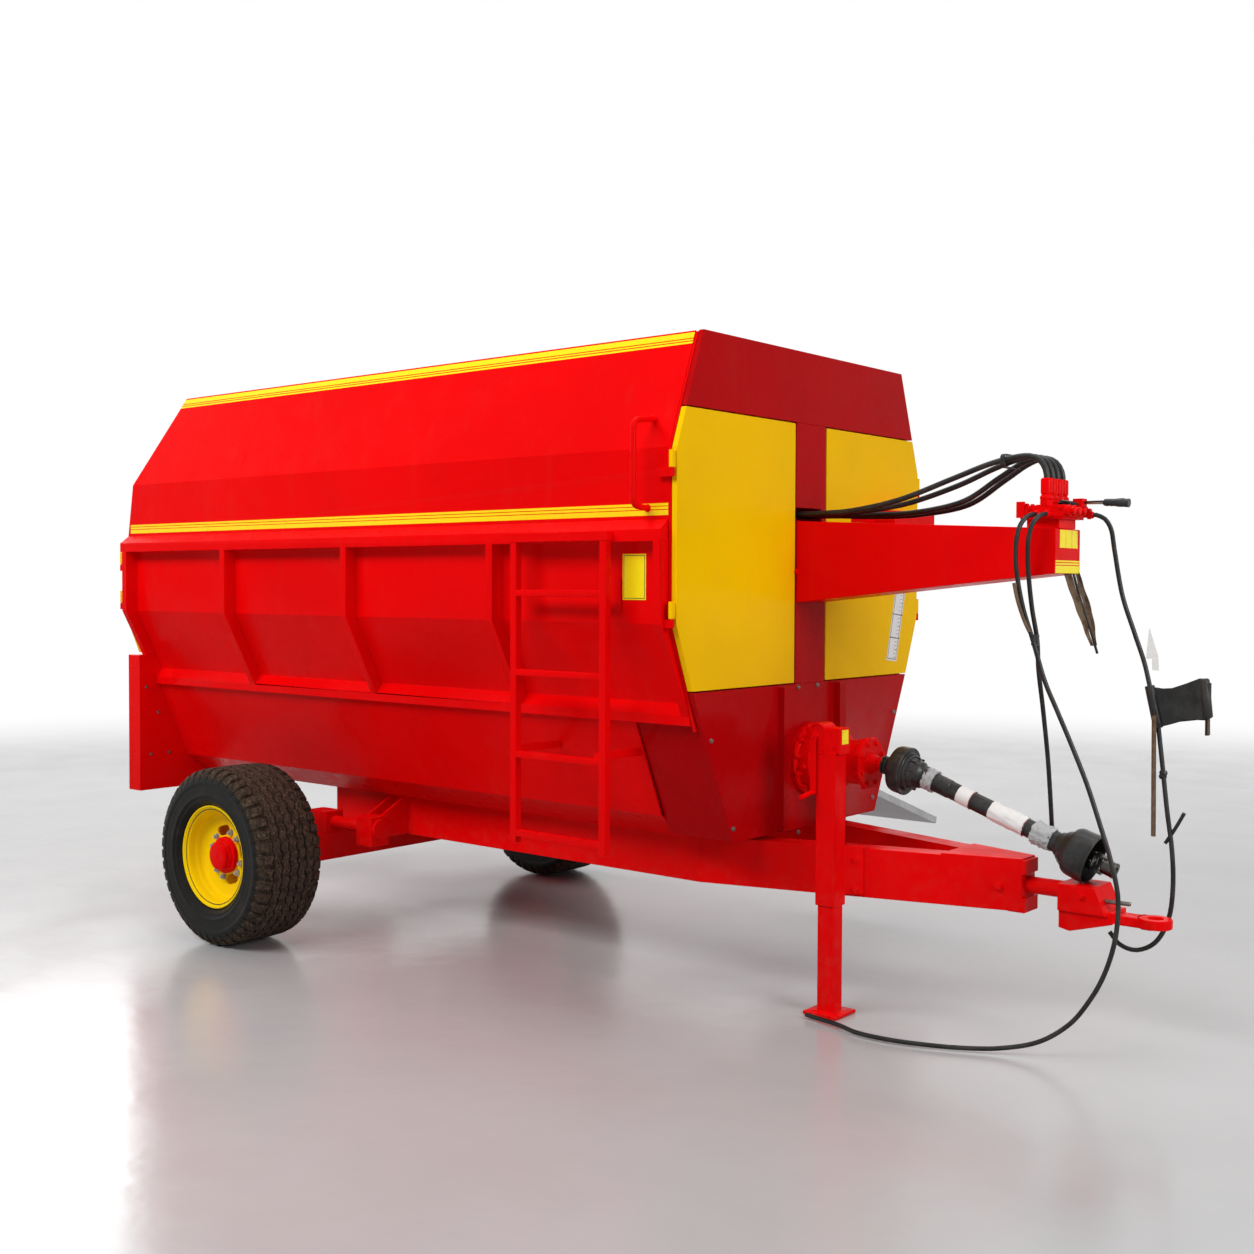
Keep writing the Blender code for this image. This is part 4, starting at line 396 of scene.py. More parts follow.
def addPipe(shape, points, radius, steps=14):
    # a round bar bent through points
    points = [Vector(point) for point in points]
    turns = [tau * step / steps for step in range(steps)]
    side = None
    rings = []
    for index, point in enumerate(points):
        ahead = (points[min(index + 1, len(points) - 1)] - points[max(index - 1, 0)]).normalized()
        if side is None:
            side = ahead.orthogonal().normalized()
        side = (side - ahead * side.dot(ahead)).normalized()
        other = ahead.cross(side)
        outward = [side * cos(turn) + other * sin(turn) for turn in turns]
        rings.append([shape.verts.new(point + radius * out) for out in outward])
    bridge(shape, rings, capped=True)


def meshOf(shape, sharp=34):
    # the shape as a mesh, smooth up to the sharp angle
    bmesh.ops.remove_doubles(shape, verts=shape.verts, dist=merge)
    bmesh.ops.dissolve_degenerate(shape, edges=shape.edges, dist=merge)
    bmesh.ops.recalc_face_normals(shape, faces=shape.faces)
    mesh = bpy.data.meshes.new("piece")
    shape.to_mesh(mesh)
    shape.free()
    mesh.shade_smooth()
    mesh.set_sharp_from_angle(angle=radians(sharp))
    return mesh


def newTree(name, wanted):
    # a Geometry Nodes tree with named inputs: (label, socket kind, value), and a weld and a finish
    tree = bpy.data.node_groups.new(name, "GeometryNodeTree")
    tree.interface.new_socket("Geometry", in_out="OUTPUT", socket_type="NodeSocketGeometry")
    tree.interface.new_socket("Geometry", in_out="INPUT", socket_type="NodeSocketGeometry")
    for label, kind, value in (*wanted, ("Weld", "Float", 0.0), ("Finish", "Material", None)):
        socket = tree.interface.new_socket(label, in_out="INPUT", socket_type="NodeSocket" + kind)
        if value is not None:
            socket.default_value = value
    return tree, addNode(tree, "NodeGroupInput"), addNode(tree, "NodeGroupOutput")


def closeTree(tree, source, given, exit):
    real = addNode(tree, "GeometryNodeRealizeInstances", {"Geometry": source})
    welded = addNode(tree, "GeometryNodeMergeByDistance", {
        "Geometry": real.outputs[0], "Distance": given.outputs["Weld"]})
    coated = addNode(tree, "GeometryNodeSetMaterial", {
        "Geometry": welded.outputs[0], "Material": given.outputs["Finish"]})
    tree.links.new(coated.outputs[0], exit.inputs[0])
    return tree


def spreadTree():
    # an item on every point, turned and sized by the point's own values
    tree, given, exit = newTree("spread", (("Item", "Object", None),))
    item = addNode(tree, "GeometryNodeObjectInfo", {"Object": given.outputs["Item"]})
    turn = addNode(tree, "GeometryNodeInputNamedAttribute", {"Name": "turn"}, data_type="FLOAT_VECTOR")
    size = addNode(tree, "GeometryNodeInputNamedAttribute", {"Name": "size"}, data_type="FLOAT_VECTOR")
    placed = addNode(tree, "GeometryNodeInstanceOnPoints", {
        "Points": given.outputs["Geometry"], "Instance": item.outputs["Geometry"],
        "Rotation": turn.outputs["Attribute"], "Scale": size.outputs["Attribute"]})
    return closeTree(tree, placed.outputs[0], given, exit)


def ringTree():
    # the modified mesh repeated round the z axis
    tree, given, exit = newTree("ring", (
        ("Count", "Int", 8), ("Radius", "Float", 0.0), ("First", "Float", 0.0)))
    points = addNode(tree, "GeometryNodePoints", {"Count": given.outputs["Count"]})
    index = addNode(tree, "GeometryNodeInputIndex")
    step = product(tree, tau, given.outputs["Count"], "DIVIDE")
    angle = product(tree, product(tree, index.outputs[0], step), given.outputs["First"], "ADD")
    turn = addNode(tree, "ShaderNodeCombineXYZ", {2: angle})
    placed = addNode(tree, "GeometryNodeInstanceOnPoints", {
        "Points": points.outputs[0], "Instance": given.outputs["Geometry"], "Rotation": turn.outputs[0]})
    out = addNode(tree, "ShaderNodeCombineXYZ", {0: given.outputs["Radius"]})
    moved = addNode(tree, "GeometryNodeTranslateInstances", {
        "Instances": placed.outputs[0], "Translation": out.outputs[0]})
    return closeTree(tree, moved.outputs[0], given, exit)


def flightTree():
    # a helical flight: a flat bar swept up a spiral
    tree, given, exit = newTree("flight", (
        ("Turns", "Float", 6.0), ("Pitch", "Float", .5), ("Inside", "Float", .09), ("Outside", "Float", .26),
        ("Thickness", "Float", .01), ("Steps", "Int", 40), ("Left", "Bool", False)))
    get = given.outputs
    middle = product(tree, product(tree, get["Inside"], get["Outside"], "ADD"), .5)
    spiral = addNode(tree, "GeometryNodeCurveSpiral", {
        "Resolution": get["Steps"], "Rotations": get["Turns"], "Start Radius": middle, "End Radius": middle,
        "Height": product(tree, get["Turns"], get["Pitch"]), "Reverse": get["Left"]})
    upright = addNode(tree, "GeometryNodeSetCurveNormal", {"Curve": spiral.outputs[0]}, mode="Z_UP")
    bar = addNode(tree, "GeometryNodeCurvePrimitiveQuadrilateral", {
        "Width": product(tree, get["Outside"], get["Inside"], "SUBTRACT"), "Height": get["Thickness"]})
    swept = addNode(tree, "GeometryNodeCurveToMesh", {
        "Curve": upright.outputs[0], "Profile Curve": bar.outputs[0], "Fill Caps": True})
    return closeTree(tree, swept.outputs[0], given, exit)


def flattened(item):
    # an object with its modifiers applied, as a new mesh
    bpy.context.view_layer.update()
    return bpy.data.meshes.new_from_object(item.evaluated_get(bpy.context.evaluated_depsgraph_get()))


def grown(mesh, tree, values):
    # a mesh run through a tree, as a plain mesh
    holder = newObject("holder", mesh)
    change = holder.modifiers.new("tree", "NODES")
    change.node_group = tree
    for socket in tree.interface.items_tree:
        if socket.in_out == "INPUT" and socket.name in values:
            change[socket.identifier] = values[socket.name]
    result = flattened(holder)
    bpy.data.objects.remove(holder)
    return result


spreading, ringing, flying = spreadTree(), ringTree(), flightTree()


def spread(name, item, places, finish, body="wagon"):
    # copies of a mesh at (point, facing, size)
    points = bpy.data.meshes.new("points")
    points.from_pydata([place[0] for place in places], [], [])
    turn = points.attributes.new("turn", "FLOAT_VECTOR", "POINT")
    size = points.attributes.new("size", "FLOAT_VECTOR", "POINT")
    for index, place in enumerate(places):
        facing, scale = place[1:]
        turn.data[index].vector = Vector((0, 0, 1)).rotation_difference(Vector(facing)).to_euler()
        size.data[index].vector = (scale, scale, scale)
    holder = bpy.data.objects.new("item", item)
    mesh = grown(points, spreading, {"Item": holder, "Finish": finishes[finish]})
    bpy.data.objects.remove(holder)
    return finished(name, mesh, finish, body)


def ringed(mesh, count, radius, place, finish, first=0.0, weld=0.0):
    # copies of a mesh in a ring round the frame's z axis
    result = grown(mesh, ringing, {
        "Count": count, "Radius": radius, "First": first, "Weld": weld, "Finish": finishes[finish]})
    result.transform(place)
    return result


def joined(meshes, sharp=34):
    shape = bmesh.new()
    for mesh in meshes:
        shape.from_mesh(mesh)
    result = bpy.data.meshes.new("joined")
    shape.to_mesh(result)
    shape.free()
    result.shade_smooth()
    result.set_sharp_from_angle(angle=radians(sharp))
    return result


hexCorner = .575                        # half a hexagon's corner distance, over its width across flats


def hexHead(across, height, washer=.0018):
    # a bolt head on its washer
    shape = bmesh.new()
    ground, reach = Matrix.Identity(4), across * hexCorner
    addLathe(shape, ground, ((0, 0), (across * .66, 0), (across * .68, washer * .6), (across * .62, washer),
                             (0, washer)), 20)
    addLathe(shape, ground, ((0, washer * .9), (reach, washer * .9), (reach, height - .0009),
                             (across * .50, height), (0, height)), 6)
    return meshOf(shape, sharp=20)


def nutOnStud(across, height, washer=.002):
    # a nut on its washer, with the stud's end standing out of it
    shape = bmesh.new()
    ground, reach, stud = Matrix.Identity(4), across * hexCorner, across * .32
    addLathe(shape, ground, ((0, 0), (across * .70, 0), (across * .70, washer), (0, washer)), 20)
    addLathe(shape, ground, ((0, .0019), (reach, .0019), (reach, height - .001), (across * .50, height),
                             (0, height)), 6)
    addLathe(shape, ground, ((0, height * .9), (stud, height * .9), (stud, height + .006),
                             (across * .26, height + .008), (0, height + .008)), 16)
    return meshOf(shape, sharp=20)


def softened(piece, width, segments=2, angle=14):
    # rounded edges whose flat faces stay flat
    bevel = piece.modifiers.new("softened", "BEVEL")
    bevel.width = width
    bevel.segments = segments
    bevel.limit_method = "ANGLE"
    bevel.angle_limit = radians(angle)
    bevel.use_clamp_overlap = False
    bevel.harden_normals = True
    bevel.miter_outer = "MITER_ARC"
    return piece


def mergeFlats(shape):
    # joins coplanar triangles into larger faces, but never into a ring round a hole
    bmesh.ops.join_triangles(shape, faces=shape.faces, cmp_seam=False, cmp_sharp=False, cmp_uvs=False,
                             cmp_vcols=False, cmp_materials=False, angle_face_threshold=radians(.5),
                             angle_shape_threshold=radians(180))


def dressed(node, finish, width=.0012, segments=2, angle=14):
    # a welded copy of a CAD solid with soft edges and its finish
    shape = bmesh.new()
    shape.from_mesh(frame["nodes"][node].data)
    bmesh.ops.remove_doubles(shape, verts=shape.verts, dist=merge)
    bmesh.ops.dissolve_degenerate(shape, edges=shape.edges, dist=merge)
    mergeFlats(shape)
    piece = finished(camel(node), meshOf(shape, sharp=angle), finish, bodyOf[node], (node,), 0)
    return softened(piece, width, segments, angle) if width else piece


# node: finish, width of the soft edge, its segments, and the angle that counts as an edge
nodeLooks = {
    "side_wall_left": ("red",), "side_wall_right": ("red",), "hopper_front_wall": ("red",),
    # the front case's panels take the darkened red: painted shade on the same paint
    "hopper_rear_wall": ("red",), "trough": ("red",), "front_case_shell": ("redFront",),
    "front_lower_panel": ("redFront",), "front_column": ("redFront",), "front_top_strip": ("redFront",),
    "front_door_left": ("yellow",), "front_door_right": ("yellow",), "rear_door_left": ("yellow",),
    "rear_door_right": ("yellow",), "rear_housing": ("red",), "rear_cover": ("red",),
    "discharge_door": ("red",), "discharge_cylinder": ("plastic",), "discharge_chute": ("zinc",),
    "chassis": ("redFlat", .0025, 3), "axle": ("redFlat", .002, 3), "axle_weigh_bar_left": ("redFlat",),
    "axle_weigh_bar_right": ("redFlat",), "weigh_bar_bracket_left": ("redFlat", .002, 3),
    "weigh_bar_bracket_right": ("redFlat", .002, 3), "hitch_weigh_bar": ("redFlat",),
    "hitch_head": ("redFlat", .004, 3), "hitch_eye": ("redFlat", .004, 3, 25), "ladder": ("red", .002),
    "hose_arm": ("red", .003, 3), "valve_lever": ("plastic", 0), "indicator_box": ("red", .002),
    "jack_outer": ("redFlat", .003, 3), "jack_leg": ("redFlat", .002),
}

# hoses

hoseWays = {
    "hose_long": (
        ((0.975, -0.1053, 1.815),),
        (
            (0.975, -0.118, 1.815), (0.966, -0.152, 1.807), (0.953, -0.178, 1.780), (0.945, -0.190, 1.738),
            (0.940, -0.188, 1.680), (0.940, -0.176, 1.606), (0.955, -0.157, 1.493), (0.982, -0.136, 1.384),
            (1.022, -0.128, 1.248), (1.068, -0.130, 1.149), (1.123, -0.135, 1.035), (1.181, -0.140, 0.906),
            (1.231, -0.150, 0.778), (1.270, -0.160, 0.675), (1.297, -0.165, 0.573), (1.303, -0.170, 0.492),
            (1.295, -0.180, 0.394), (1.271, -0.200, 0.295), (1.233, -0.220, 0.210), (1.170, -0.235, 0.120),
            (1.080, -0.272, 0.052), (0.970, -0.325, 0.021), (0.860, -0.385, 0.0138), (0.740, -0.435, 0.0130),
            (0.620, -0.465, 0.013), (0.500, -0.466, 0.013), (0.400, -0.430, 0.013), (0.250, -0.400, 0.013),
        ),
    ),
    "hose_short": (
        ((1.012, -0.1053, 1.815),),
        (
            (1.012, -0.118, 1.815), (1.005, -0.150, 1.806), (0.992, -0.172, 1.779), (0.982, -0.178, 1.738),
            (0.974, -0.168, 1.680), (0.970, -0.150, 1.606), (0.974, -0.128, 1.493), (0.986, -0.110, 1.384),
            (0.979, -0.080, 1.279), (0.962, 0.000, 1.135), (0.956, 0.060, 0.954), (0.953, 0.098, 0.775),
            (0.953, 0.110, 0.700), (0.961, 0.112, 0.638), (0.984, 0.109, 0.585), (1.026, 0.100, 0.556),
            (1.075, 0.090, 0.550),
        ),
    ),
    "hose_front": (
        ((1.1053, 0.060, 1.815),),
        (
            (1.120, 0.060, 1.815), (1.147, 0.072, 1.800), (1.163, 0.088, 1.762), (1.170, 0.102, 1.690),
            (1.193, 0.117, 1.539), (1.235, 0.120, 1.412), (1.271, 0.120, 1.310), (1.293, 0.120, 1.222),
        ),
        (
            (1.322, 0.120, 1.097), (1.341, 0.113, 0.960), (1.363, 0.100, 0.812), (1.385, 0.090, 0.680),
            (1.392, 0.085, 0.560), (1.382, 0.079, 0.452), (1.345, 0.069, 0.368), (1.285, 0.060, 0.330),
            (1.228, 0.052, 0.340), (1.190, 0.050, 0.380),
        ),
    ),
}
bundle = {
    "ys": (-.080, -.035, .010, .055), "radius": .010, "stubX": 1.000, "stubTop": 1.940, "lead": .010,
    "bend": ((.931, 2.019), (.971, 2.005), (.992, 1.978)),
    "stops": (((-0.070, 1.843), (0.100, 1.844), (0.250, 1.852), (0.441, 1.886), (0.641, 1.950),
               (0.780, 1.995), (0.868, 2.014)),
              ((-0.070, 1.843), (0.100, 1.843), (0.250, 1.848), (0.441, 1.872), (0.641, 1.928),
               (0.780, 1.982), (0.868, 2.010)),
              ((-0.070, 1.841), (0.100, 1.840), (0.250, 1.838), (0.441, 1.840), (0.641, 1.874),
               (0.780, 1.952), (0.868, 2.002)),
              ((-0.070, 1.841), (0.100, 1.838), (0.250, 1.832), (0.441, 1.834), (0.641, 1.864),
               (0.780, 1.945), (0.868, 1.999))),
}
hoseFinish = {"radius": .008, "step": 2.0, "roundness": 5, "gap": .0003}


def smoothRun(stops, spacing):
    # evenly spaced points along a smooth curve through the stops
    places = [Vector(stop) for stop in stops]
    places = [2 * places[0] - places[1], *places, 2 * places[-1] - places[-2]]
    fine = []
    parts = 12
    for a, b, c, d in zip(places, places[1:], places[2:], places[3:]):
        square, cube = 2 * a - 5 * b + 4 * c - d, 3 * b - a - 3 * c + d
        for step in range(parts):
            t = step / parts
            fine.append(.5 * (2 * b + (c - a) * t + square * t**2 + cube * t**3))
    fine.append(places[-2])
    lengths = [0]
    for a, b in zip(fine, fine[1:]):
        lengths.append(lengths[-1] + (b - a).length)
    count = max(2, round(lengths[-1] / spacing))
    even, index = [], 0
    for step in range(count + 1):
        wanted = lengths[-1] * step / count
        while index < len(fine) - 2 and lengths[index + 1] < wanted:
            index += 1
        share = (wanted - lengths[index]) / (lengths[index + 1] - lengths[index])
        even.append(fine[index].lerp(fine[index + 1], share))
    return even


def wholeWay(ways, radius):
    points = []
    for stops in ways:
        points += smoothRun(stops, hoseFinish["step"] * radius) if len(stops) > 1 else [Vector(stops[0])]
    return [point + Vector((bodyFront, 0, 0)) for point in points]


def makeHose(node, ways, radius):
    points = wholeWay(ways, radius)
    curve = bpy.data.curves.new(camel(node), "CURVE")
    curve.dimensions = "3D"
    curve.bevel_depth = radius
    curve.bevel_resolution = hoseFinish["roundness"]
    curve.use_fill_caps = True
    line = curve.splines.new("POLY")
    line.points.add(len(points) - 1)
    for point, place in zip(line.points, points):
        point.co = (*place, 1)
    line.use_smooth = True
    piece = newObject(camel(node), curve)
    curve.materials.append(finishes["hose"])
    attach(piece, "wagon")
    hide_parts(node)


for number, (way, y) in enumerate(zip(bundle["stops"], bundle["ys"]), 1):
    bend = (*bundle["bend"], (bundle["stubX"], bundle["stubTop"] + bundle["lead"]))
    stops = [(x, y, z) for x, z in (*way, *bend)]
    end = (bundle["stubX"], y, bundle["stubTop"] + hoseFinish["gap"])
    makeHose(f"hose_bundle_{number}", (stops, (end,)), bundle["radius"])
makeHose("hose_long", hoseWays["hose_long"], hoseFinish["radius"])
makeHose("hose_short", hoseWays["hose_short"], hoseFinish["radius"])
dressed("hose_holder", "sheet", 0, angle=34)
makeHose("hose_front", hoseWays["hose_front"], hoseFinish["radius"])
print("hoses laid")

# wheels

tyreLook = {
    "middle": (-2.292, 1.020, .385), "blocks": 44, "wave": .0052, "grooves": (.021, .062, .103),
    "mouth": .0050, "bottom": .0028, "crown": .385, "fall": .17, "deep": .3738, "slotTop": .185,
    "slotBottom": .125, "waveFade": (.139, .034),
    # shoulder: distance from the middle, radius between blocks, radius on a block
    "shoulder": ((.1080, .3712, .3829), (.1250, .3690, .3818), (.1390, .3650, .3790), (.1440, .3625, .3765),
                 (.1540, .3550, .3650), (.1610, .3455, .3540), (.1655, .3360, .3420), (.1670, .3300, .3340),
                 (.1674, .3240, .3240)),
    # side: radius, distance
    "side": ((.3200, .1676), (.3180, .1664), (.3050, .1668), (.2900, .1668), (.2720, .1650), (.2690, .1658),
             (.2655, .1656), (.2640, .1636), (.2520, .1590), (.2500, .1602), (.2440, .1592), (.2425, .1566),
             (.2340, .1500), (.2275, .1420), (.2262, .1352), (.2040, .1346)),
}
rimLook = {
    "outside": ((.2225, .1370), (.2225, .1412), (.2208, .1428), (.2180, .1430), (.2155, .1418),
                (.2130, .1380), (.2095, .1335), (.2035, .1300), (.1985, .1275), (.1965, .1235),
                (.1960, .1010), (.1945, .0970), (.1900, .0915), (.1878, .0870), (.1872, .0760),
                (.1850, .0700), (.1790, .0655), (.1700, .0640), (.1450, .0632), (.0700, .0630)),
    "inside": ((.0700, .0550), (.1840, .0552), (.1910, .0500), (.1955, .0400), (.1955, -.1240),
               (.1990, -.1290), (.2095, -.1335), (.2130, -.1380), (.2155, -.1418), (.2180, -.1430),
               (.2208, -.1428), (.2225, -.1412), (.2225, -.1370), (.2034, -.1340), (.2034, .1340)),
    "steps": 96, "holes": 4, "holeCircle": .107, "holeRadius": .021, "holeLength": .088, "holePhase": 15.6,
    "holeDepth": .040,
    "hub": ((0, -.174), (.066, -.174), (.070, -.170), (.070, .0640), (.0765, .0650), (.0790, .0675),
            (.0790, .0840), (.0765, .0865), (.0700, .0880), (.0560, .0890), (.0560, .1000), (.0600, .1030),
            (.0600, .1120), (.0575, .1165), (.0500, .1195), (.0300, .1200), (0, .1200)),
    "hubNut": ((0, .0870), (.0685, .0870), (.0700, .0885), (.0700, .0985), (.0660, .1010), (0, .1010)),
    "key": ((-.0035, -.011, .1190), (.0035, .011, .1212)),
    # in two rings, turned by degrees from the holes
    "nuts": 8, "nut": (.021, .013), "nutInset": .004, "nutHeight": .0630, "nutTurns": (31, 59),
    "valve": ((.176, .062, .064), (.176, .062, .082), (.178, .063, .094), (.183, .064, .106),
              (.186, .065, .114)),
}


def treadRows(look):
    # half the section from the middle out: distance, radius in a slot, radius on a block, share of the wave
    rows = [(0, look["crown"], look["crown"], 1)]
    mouth, bottom, deep = look["mouth"], look["bottom"], look["deep"]
    for middle in look["grooves"]:
        for offset, sunk in ((-mouth, 0), (-bottom, 1), (bottom, 1), (mouth, 0)):
            place = middle + offset
            top = look["crown"] - look["fall"] * place**2
            if middle == look["grooves"][-1] and offset > 0:
                rows.append((place, deep, deep if sunk else top, 1))
            else:
                rows.append((place, deep if sunk else top, deep if sunk else top, 1))
    fadeEnd, fadeRun = look["waveFade"]
    for place, low, high in look["shoulder"][1:]:
        rows.append((place, low, high, max(0, (fadeEnd - place) / fadeRun)))
    return rows


def waveAt(place):
    place = (place + .25) % 1
    return 1 - 4 * abs(place - .5)


def makeTyre(side):
    look = tyreLook
    section = treadRows(look)
    section += [(distance, radius, radius, 0) for radius, distance in look["side"]]
    around = [(-place, low, high, share) for place, low, high, share in section[:0:-1]] + section
    edge, foot = look["slotTop"], look["slotBottom"]
    steps = (-.5, -.37, -.25, -edge, -foot, 0, foot, edge, .25, .37, .5)      # places along one block
    shape = bmesh.new()
    columns = []
    for step in steps:
        angle = tau / look["blocks"] * step
        column = []
        for place, low, high, share in around:
            radius = low if abs(step) <= foot else high
            across = place + look["wave"] * waveAt(step) * share
            column.append(shape.verts.new((radius * cos(angle), radius * sin(angle), across)))
        columns.append(column)
    for first, second in zip(columns, columns[1:]):
        for index in range(len(around)):
            following = (index + 1) % len(around)
            shape.faces.new((first[index], second[index], second[following], first[following]))
    segment = meshOf(shape)
    x, y, z = look["middle"]
    mesh = ringed(segment, look["blocks"], 0.0, frameOf((x, side * y, z), (0, side, 0)), "tread", weld=.0001)
    mesh.shade_smooth()
    mesh.set_sharp_from_angle(angle=radians(38))
    node = "tyre_left" if side > 0 else "tyre_right"
    finished(camel(node), mesh, "tread", bodyOf[node], (node,))


def makeRim(side):
    look = rimLook
    x, y, z = tyreLook["middle"]
    place = frameOf((x, side * y, z), (0, side, 0))
    node = "rim_left" if side > 0 else "rim_right"
    shape = bmesh.new()
    addLathe(shape, Matrix.Identity(4), look["outside"] + look["inside"], look["steps"], closed=True)
    piece = newObject("rim", meshOf(shape))
    cutter = bmesh.new()
    straight = look["holeLength"] / 2 - look["holeRadius"]
    for index in range(look["holes"]):
        angle = radians(look["holePhase"]) + tau * index / look["holes"]
        outline = []
        for end in (1, -1):
            for step in range(11):
                turn = pi * step / 10 - end * pi / 2
                along = end * straight + look["holeRadius"] * cos(turn)
                out = look["holeCircle"] + look["holeRadius"] * sin(turn)
                outline.append((out * cos(angle) - along * sin(angle), out * sin(angle) + along * cos(angle),
                                look["holeDepth"]))
        addSolid(cutter, outline, (0, 0, look["holeDepth"]))
    holes = newObject("holes", meshOf(cutter))
    cut = piece.modifiers.new("holes", "BOOLEAN")
    cut.operation, cut.object, cut.solver = "DIFFERENCE", holes, "EXACT"
    disc = flattened(piece)
    for spare in (piece, holes):
        bpy.data.objects.remove(spare)
    disc.transform(place)
    disc.shade_smooth()
    disc.set_sharp_from_angle(angle=radians(34))
    finished(camel(node), disc, "rimYellow", bodyOf[node], (node,))

    shape = bmesh.new()
    addLathe(shape, place, look["hub"], 64)
    addLathe(shape, place, look["hubNut"], 8)
    key = bmesh.new()
    addBlock(key, *look["key"])
    bmesh.ops.transform(key, matrix=place, verts=key.verts)
    shape.from_mesh(meshOf(key))
    finished(camel(node) + "Hub", meshOf(shape, sharp=24), "redFlat", bodyOf[node])
    face = place @ Matrix.Translation((0, 0, look["nutHeight"]))
    circle = look["holeCircle"] - look["nutInset"]
    nuts = []
    for turn in look["nutTurns"]:
        first = radians(look["holePhase"] + turn)
        nuts.append(ringed(nutOnStud(*look["nut"]), look["nuts"] // 2, circle, face, "zinc", first))
    finished(camel(node) + "Nuts", joined(nuts, 20), "zinc", bodyOf[node])
    shape = bmesh.new()
    *stem, cap = [place @ Vector(point) for point in look["valve"]]
    addPipe(shape, stem, .0045)
    addPipe(shape, (stem[-1], cap), .0062)
    finished(camel(node) + "Valve", meshOf(shape), "yellow", bodyOf[node])


for side in (1, -1):
    makeTyre(side)
    makeRim(side)
print("wheels made")


# augers

augerLook = {
    "rear": -3.360, "front": -.345, "sheet": .010, "turns": 6, "phase": 1.3, "shaft": .035, "reach": .020,
    "spacing": .75, "knife": ((-.060, -.044), (-.012, -.050), (.019, -.013), (.004, .042), (-.060, .036)),
    "knifeSheet": .008, "knifeSunk": .0005, "bolt": (.017, .009), "sunk": .002, "steps": 48,
    "knifeBolts": ((-.044, -.026), (-.044, .018)), "sprocket": (-.156, -.144), "pitch": .036, "tooth": .012,
    "toothShape": (-.5, -.12, .5, -.12),
    "hub": ((0, 0), (.056, 0), (.058, .002), (.058, .054), (.056, .056), (0, .056)), "hubBefore": .022,
    # node: axis y and z, radius, tube radius, hand, shaft ends, teeth
    "rows": (("auger_main", 0.0, .892, .262, .090, 1, -3.440, -.060, 21),
             ("auger_upper_left", .430, 1.620, .290, .080, 1, -3.4373, -.100, 30),
             ("auger_upper_right", -.430, 1.620, .290, .080, -1, -3.4373, -.100, 30)),
}


def makeAuger(node, y, z, radius, tube, hand, shaftRear, shaftFront, teeth):
    look = augerLook
    run = look["front"] - look["rear"] - 4 * look["sheet"]
    pitch = run / look["turns"]
    edge = radius - look["reach"]
    place = frameOf((look["rear"] + 2 * look["sheet"], y, z), (1, 0, 0))
    place = place @ Matrix.Rotation(radians(hand * look["phase"]), 4, "Z")
    flight = grown(bpy.data.meshes.new("start"), flying, {
        "Turns": float(look["turns"]), "Pitch": pitch, "Inside": tube - look["sunk"], "Outside": edge,
        "Thickness": look["sheet"], "Steps": look["steps"], "Left": hand > 0, "Finish": finishes["worn"]})
    flight.transform(place)
    shape = bmesh.new()
    addBar(shape, (look["rear"], y, z), (look["front"], y, z), tube, steps=56, soft=.002)
    addBar(shape, (shaftRear, y, z), (shaftFront, y, z), look["shaft"], steps=40, soft=.002)
    body = meshOf(shape)
    knives = []
    bolts = []
    turn = look["spacing"]
    lead = hand * atan2(pitch, tau * edge)
    low = look["sheet"] / 2 - look["knifeSunk"]
    while turn < look["turns"] - look["spacing"] / 2:
        shape = bmesh.new()
        addSolid(shape, [(x, hand * across, low) for x, across in look["knife"]], (0, 0, look["knifeSheet"]))
        knife = meshOf(shape)
        here = place @ Matrix.Rotation(hand * tau * turn, 4, "Z")
        here = here @ Matrix.Translation((edge, 0, pitch * turn)) @ Matrix.Rotation(lead, 4, "X")
        knife.transform(here)
        knives.append(knife)
        for x, across in look["knifeBolts"]:
            point = here @ Vector((x, hand * across, low + look["knifeSheet"]))
            bolts.append((point, here.to_3x3() @ Vector((0, 0, 1)), 1.0))
        turn += look["spacing"]
    size = teeth * look["pitch"] / tau
    near, far = look["sprocket"]
    wheel = bmesh.new()
    outline = []
    for index in range(4 * teeth):
        reach = size + look["tooth"] * look["toothShape"][index % 4]
        angle = pi * index / (2 * teeth) - pi / (2 * teeth)
        outline.append((near, y + reach * cos(angle), z + reach * sin(angle)))
    addSolid(wheel, outline, (far - near, 0, 0))
    addLathe(wheel, frameOf((near - look["hubBefore"], y, z), (1, 0, 0)), look["hub"], 40)
    whole = joined((flight, body, *knives, meshOf(wheel)))
    finished(camel(node), whole, "worn", bodyOf[node], (node,))
    spread(camel(node) + "Bolts", hexHead(*look["bolt"]), bolts, "bolt", bodyOf[node])


for augerRow in augerLook["rows"]:
    makeAuger(*augerRow)
print("augers made")

# flat tapes, plates and signs

def addTape(shape, start, end, across, out, sheet=.0006):
    # a thin strip from start to end, its width along across, just above a surface
    start, end, across, out = Vector(start), Vector(end), Vector(across), Vector(out).normalized()
    depth = .0002
    sunk = out * -depth
    corners = (start + sunk, end + sunk, end + across + sunk, start + across + sunk)
    addSolid(shape, corners, out * (sheet + depth))


